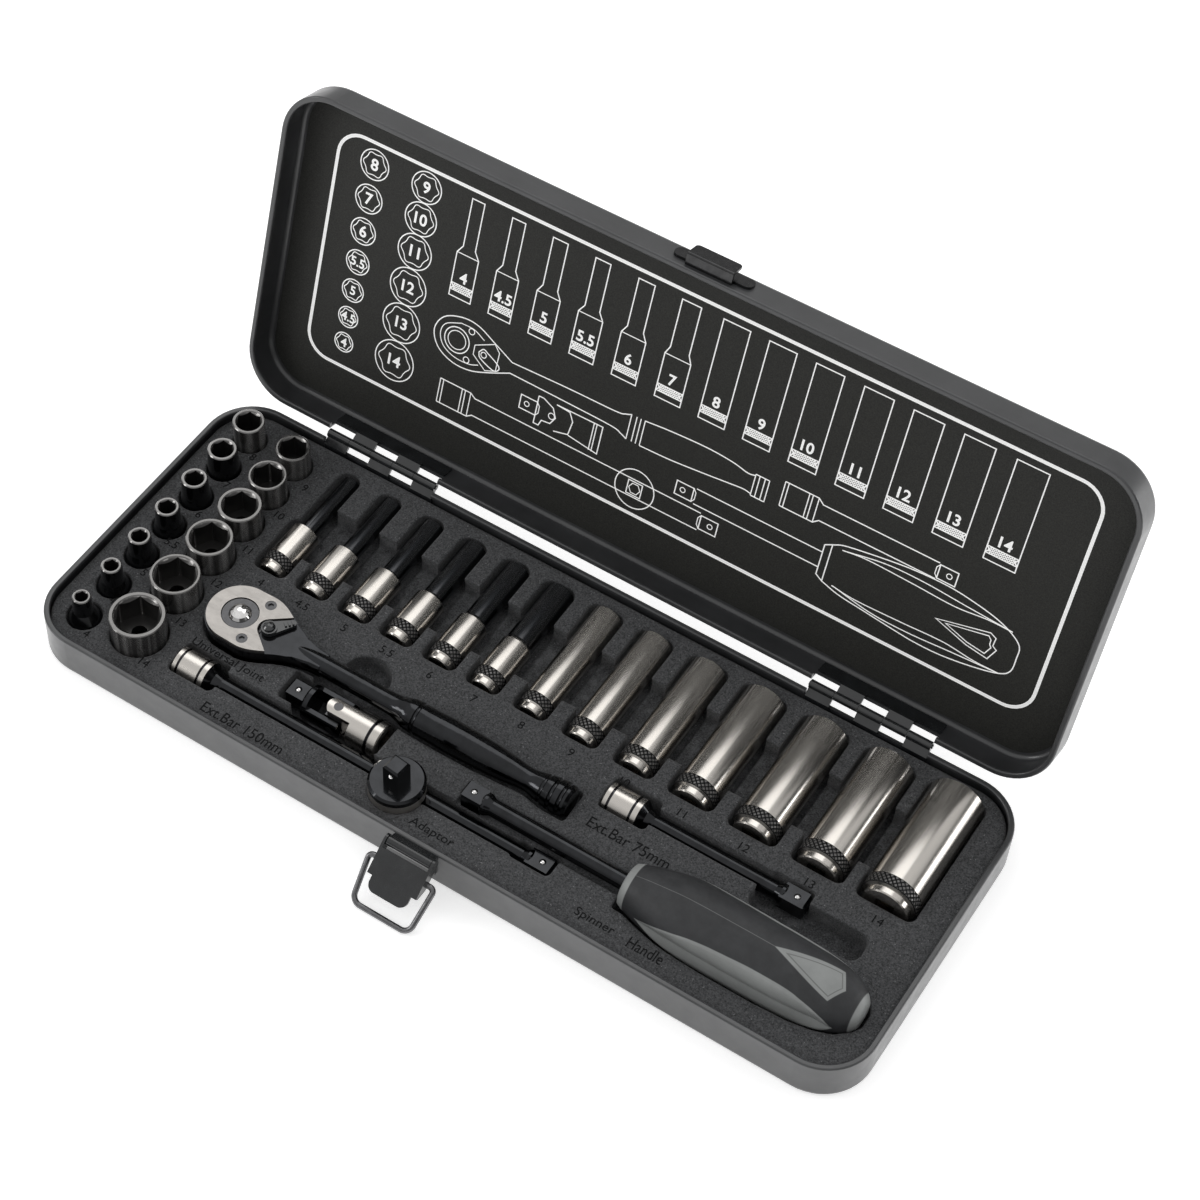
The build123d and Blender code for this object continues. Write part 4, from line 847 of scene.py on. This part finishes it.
def badge_inside(x, away, share=1.0):
    """Whether a point lies in the arrow-shaped plate."""
    middle = BADGE_POINT + (BADGE_TIP - BADGE_POINT) * 0.62
    x = middle + (x - middle) / share
    half = BADGE_HALF * (x - BADGE_POINT) / (BADGE_END - BADGE_POINT)
    end = BADGE_TIP - 2.4 * math.sin(math.pi * min(1.0, abs(away) / (BADGE_HALF * share)) / 1.6)
    return x > BADGE_POINT and abs(away) < half * share and x < end


def handle_finish():
    f = Finish("handle_two_tone", SOFT_GRIP, 0.55, specular=0.4)
    x = f.axis("X")
    dy = f.math("SUBTRACT", SPINNER_Y, f.axis("Y"))
    dz = f.math("SUBTRACT", f.axis("Z"), SPINNER_Z)
    angle = f.math("MULTIPLY", f.math("ARCTAN2", dy, dz), 180 / math.pi)
    turned = f.math("SUBTRACT", angle, HANDLE_TURN)
    curve = f.tree.nodes.new("ShaderNodeFloatCurve")
    points = curve.mapping.curves[0].points
    first, last = LEAF[0][0], LEAF[-1][0]
    table = [((a - first) / (last - first), b / 40) for a, b in LEAF]
    while len(points) < len(table):
        points.new(0.5, 0.5)
    for point, (a, b) in zip(points, table):
        point.location = (a, b)
        point.handle_type = "AUTO_CLAMPED"
    curve.mapping.update()
    f.plug(curve.inputs["Value"], f.ramp(x, first, last))
    half = f.math("MULTIPLY", curve.outputs[0], 40.0)
    away = f.math("ABSOLUTE", f.math("SUBTRACT", f.math("ABSOLUTE", turned), LEAF_CENTRE))
    leaf = f.ramp(f.math("SUBTRACT", half, away), -0.6, 0.6)
    leaf = f.math("MULTIPLY", leaf, f.between(x, first, last, 0.3))
    to_top = f.math("ABSOLUTE", turned)
    to_low = f.math("SUBTRACT", 180.0, to_top)
    near = f.math("MINIMUM", to_top, to_low)
    widen = f.ramp(x, BADGE_POINT, BADGE_END, 0.0, BADGE_HALF)
    end = f.ramp(near, 0.0, BADGE_HALF, BADGE_TIP, BADGE_END - 1.2)
    badge = f.math("MULTIPLY", f.ramp(f.math("SUBTRACT", widen, near), -0.7, 0.7),
                   f.ramp(f.math("SUBTRACT", end, x), -0.1, 0.1))
    # A darker line round the badge's inner plate, where it steps down: painted shade in the gap.
    from_side = f.math("MULTIPLY", f.math("SUBTRACT", widen, near), DEGREE_WIDTH)
    badge_gap_shade = f.between(f.math("MINIMUM", from_side, f.math("SUBTRACT", end, x)), 1.1, 1.45, 0.08)
    ends = f.math("MAXIMUM", f.ramp(x, 68.7, 68.4), f.ramp(x, 149.0, 149.3))
    grey = f.math("MAXIMUM", f.math("MAXIMUM", leaf, badge), ends)
    cloud = f.ramp(f.noise(5, 3), 0.3, 0.7)
    dark = f.mix(cloud, scaled(SOFT_GRIP, 0.85), scaled(SOFT_GRIP, 1.2))
    light = f.mix(cloud, scaled(GREY_PLASTIC, 0.93), scaled(GREY_PLASTIC, 1.06))
    light = f.mix(f.math("MULTIPLY", badge_gap_shade, badge), light, scaled(GREY_PLASTIC, 0.55))
    f.colour(f.mix(grey, dark, light))
    f.roughness(f.blend(grey, f.ramp(f.noise(1.5, 3), 0.3, 0.7, 0.5, 0.62), 0.42))
    return f.bump(f.noise(0.35, 3), 0.012, 0.5).material


def spinner_handle(finish):
    xs = [65.8, 65.8]
    radii = [0.01, 6.6]
    x = 66.1
    while x < 151.4:
        xs.append(x)
        radii.append(step_between(x, HANDLE_PROFILE[1:-1]))
        x += 0.55 if x < 147 else 0.3
    xs += [151.5]
    radii += [0.01]
    blur = np.array(radii)
    for _ in range(6):
        blur[3:-3] = (blur[2:-4] + 2 * blur[3:-3] + blur[4:-2]) / 4
    around = 240
    vertices = []
    for x, radius in zip(xs, blur):
        for i in range(around):
            angle = 360 * i / around
            reach = radius - (handle_offset(x, angle) if radius > 7 else 0.0)
            turn = math.radians(angle)
            vertices.append((x, SPINNER_Y - reach * math.sin(turn),
                             SPINNER_Z + reach * math.cos(turn)))
    faces = []
    for j in range(len(xs) - 1):
        for i in range(around):
            k = (i + 1) % around
            faces.append((j * around + i, j * around + k, (j + 1) * around + k,
                          (j + 1) * around + i))
    made = piece("spinner_handle", vertices, faces, finish, "spinner", True)
    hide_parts("spinner_grip", "spinner_core")


# ---------------------------------------------------------------- studio
CAMERA_TURN, CAMERA_RISE, CAMERA_ROLL = 32.994, 51.671, 0.88
CAMERA_DISTANCE = 1007.131
CAMERA_TARGET = (-48.103, 50.494, 10.0)
CAMERA_LENS, SENSOR_WIDTH = 86.86, 36
CAMERA_SHIFT = (0.1, -0.0333)
TENT_LOW, TENT_HIGH = 0.42, 0.78  # strength of the soft surround, near the floor and overhead
GAP_STRENGTH = 0.12              # share left in the dark gap between the two bright boxes
FLOOR_HALF = 14.0                # metres
LIGHT_AIM = (0.0, 0.04, 0.02)    # metres
# name: place in metres, size in metres, power in watts
LIGHTS = {"top_box": ((-0.33, 0.78, 1.18), (1.2, 0.9), 3.8),
          "right_box": ((1.15, 0.75, 0.24), (0.9, 0.30), 3.4),
          "front_box": ((-1.05, -0.75, 0.62), (0.6, 0.35), 3.4)}


def camera():
    """The camera, aimed at CAMERA_TARGET from the photograph's side."""
    turn, rise, roll = (math.radians(a) for a in (CAMERA_TURN, CAMERA_RISE, CAMERA_ROLL))
    back = Vector((math.sin(turn) * math.cos(rise), -math.cos(turn) * math.cos(rise),
                   math.sin(rise)))
    right = Vector((math.cos(turn), math.sin(turn), 0))
    up = back.cross(right)
    across = right * math.cos(roll) + up * math.sin(roll)
    upward = up * math.cos(roll) - right * math.sin(roll)
    data = bpy.data.cameras.new("camera")
    data.lens = CAMERA_LENS
    data.sensor_width = SENSOR_WIDTH
    data.shift_x, data.shift_y = CAMERA_SHIFT
    data.clip_start = 0.05
    data.clip_end = 60
    made = bpy.data.objects.new("camera", data)
    bpy.context.scene.collection.objects.link(made)
    made.location = (Vector(CAMERA_TARGET) + back * CAMERA_DISTANCE) * MM
    made.rotation_euler = Matrix((across, upward, back)).transposed().to_euler()
    bpy.context.scene.camera = made


def area_light(name, place, aim, size, power):
    """A rectangular soft light; places are in metres."""
    data = bpy.data.lights.new(name, "AREA")
    data.shape = "RECTANGLE"
    data.size, data.size_y = size
    data.energy = power
    made = bpy.data.objects.new(name, data)
    bpy.context.scene.collection.objects.link(made)
    made.location = place
    made.rotation_euler = (Vector(aim) - Vector(place)).to_track_quat("-Z", "Y").to_euler()


def surround(scene):
    """A pale tent of light with one dark gap; the camera sees plain white behind the object."""
    world = bpy.data.worlds.new("studio")
    scene.world = world
    world.use_nodes = True
    tree = world.node_tree
    sky = tree.nodes["Background"]
    place = tree.nodes.new("ShaderNodeTexCoord").outputs["Generated"]
    split = tree.nodes.new("ShaderNodeSeparateXYZ")
    tree.links.new(place, split.inputs[0])

    def ramp(value, low, high, to_low=0.0, to_high=1.0):
        node = tree.nodes.new("ShaderNodeMapRange")
        tree.links.new(value, node.inputs[0])
        for index, given in enumerate((low, high, to_low, to_high)):
            node.inputs[index + 1].default_value = given
        return node.outputs[0]

    def join(operation, a, b):
        node = tree.nodes.new("ShaderNodeMath")
        node.operation = operation
        tree.links.new(a, node.inputs[0])
        tree.links.new(b, node.inputs[1])
        return node.outputs[0]

    height = split.outputs["Z"]
    tent = ramp(height, 0.25, 0.75, TENT_LOW, TENT_HIGH)
    gap = join("MULTIPLY", ramp(height, 0.20, 0.27), ramp(height, 0.55, 0.46))
    gap = join("MULTIPLY", gap, ramp(split.outputs["X"], 0.35, 0.5))
    keep = ramp(gap, 0.0, 1.0, 1.0, GAP_STRENGTH)
    level = join("MULTIPLY", tent, keep)
    seen = tree.nodes.new("ShaderNodeLightPath").outputs["Is Camera Ray"]
    level = join("MAXIMUM", level, seen)
    sky.inputs["Color"].default_value = (1, 1, 1, 1)
    tree.links.new(level, sky.inputs["Strength"])


def floor_plane(scene):
    size = FLOOR_HALF
    mesh = bpy.data.meshes.new("floor")
    mesh.from_pydata([(-size, -size, 0), (size, -size, 0), (size, size, 0), (-size, size, 0)], [],
                     [(0, 1, 2, 3)])
    floor = bpy.data.objects.new("floor", mesh)
    scene.collection.objects.link(floor)
    f = Finish("floor_white", (0.88, 0.88, 0.88), 0.9, specular=0.1)
    f.shader.inputs["Emission Color"].default_value = (1, 1, 1, 1)
    f.shader.inputs["Emission Strength"].default_value = 0.55
    mesh.materials.append(f.material)


def studio():
    scene = bpy.context.scene
    scene.view_settings.view_transform = "Standard"
    surround(scene)
    floor_plane(scene)
    for name, (place, size, power) in LIGHTS.items():
        area_light(name, place, LIGHT_AIM, size, power)


camera()
studio()
dress_cad()
foam_tray(foam_finish())
foam_labels(label_shade_finish())
card_print(print_finish())
spinner_handle(handle_finish())
for size_name in DEEP_X:
    knurl_band(size_name)
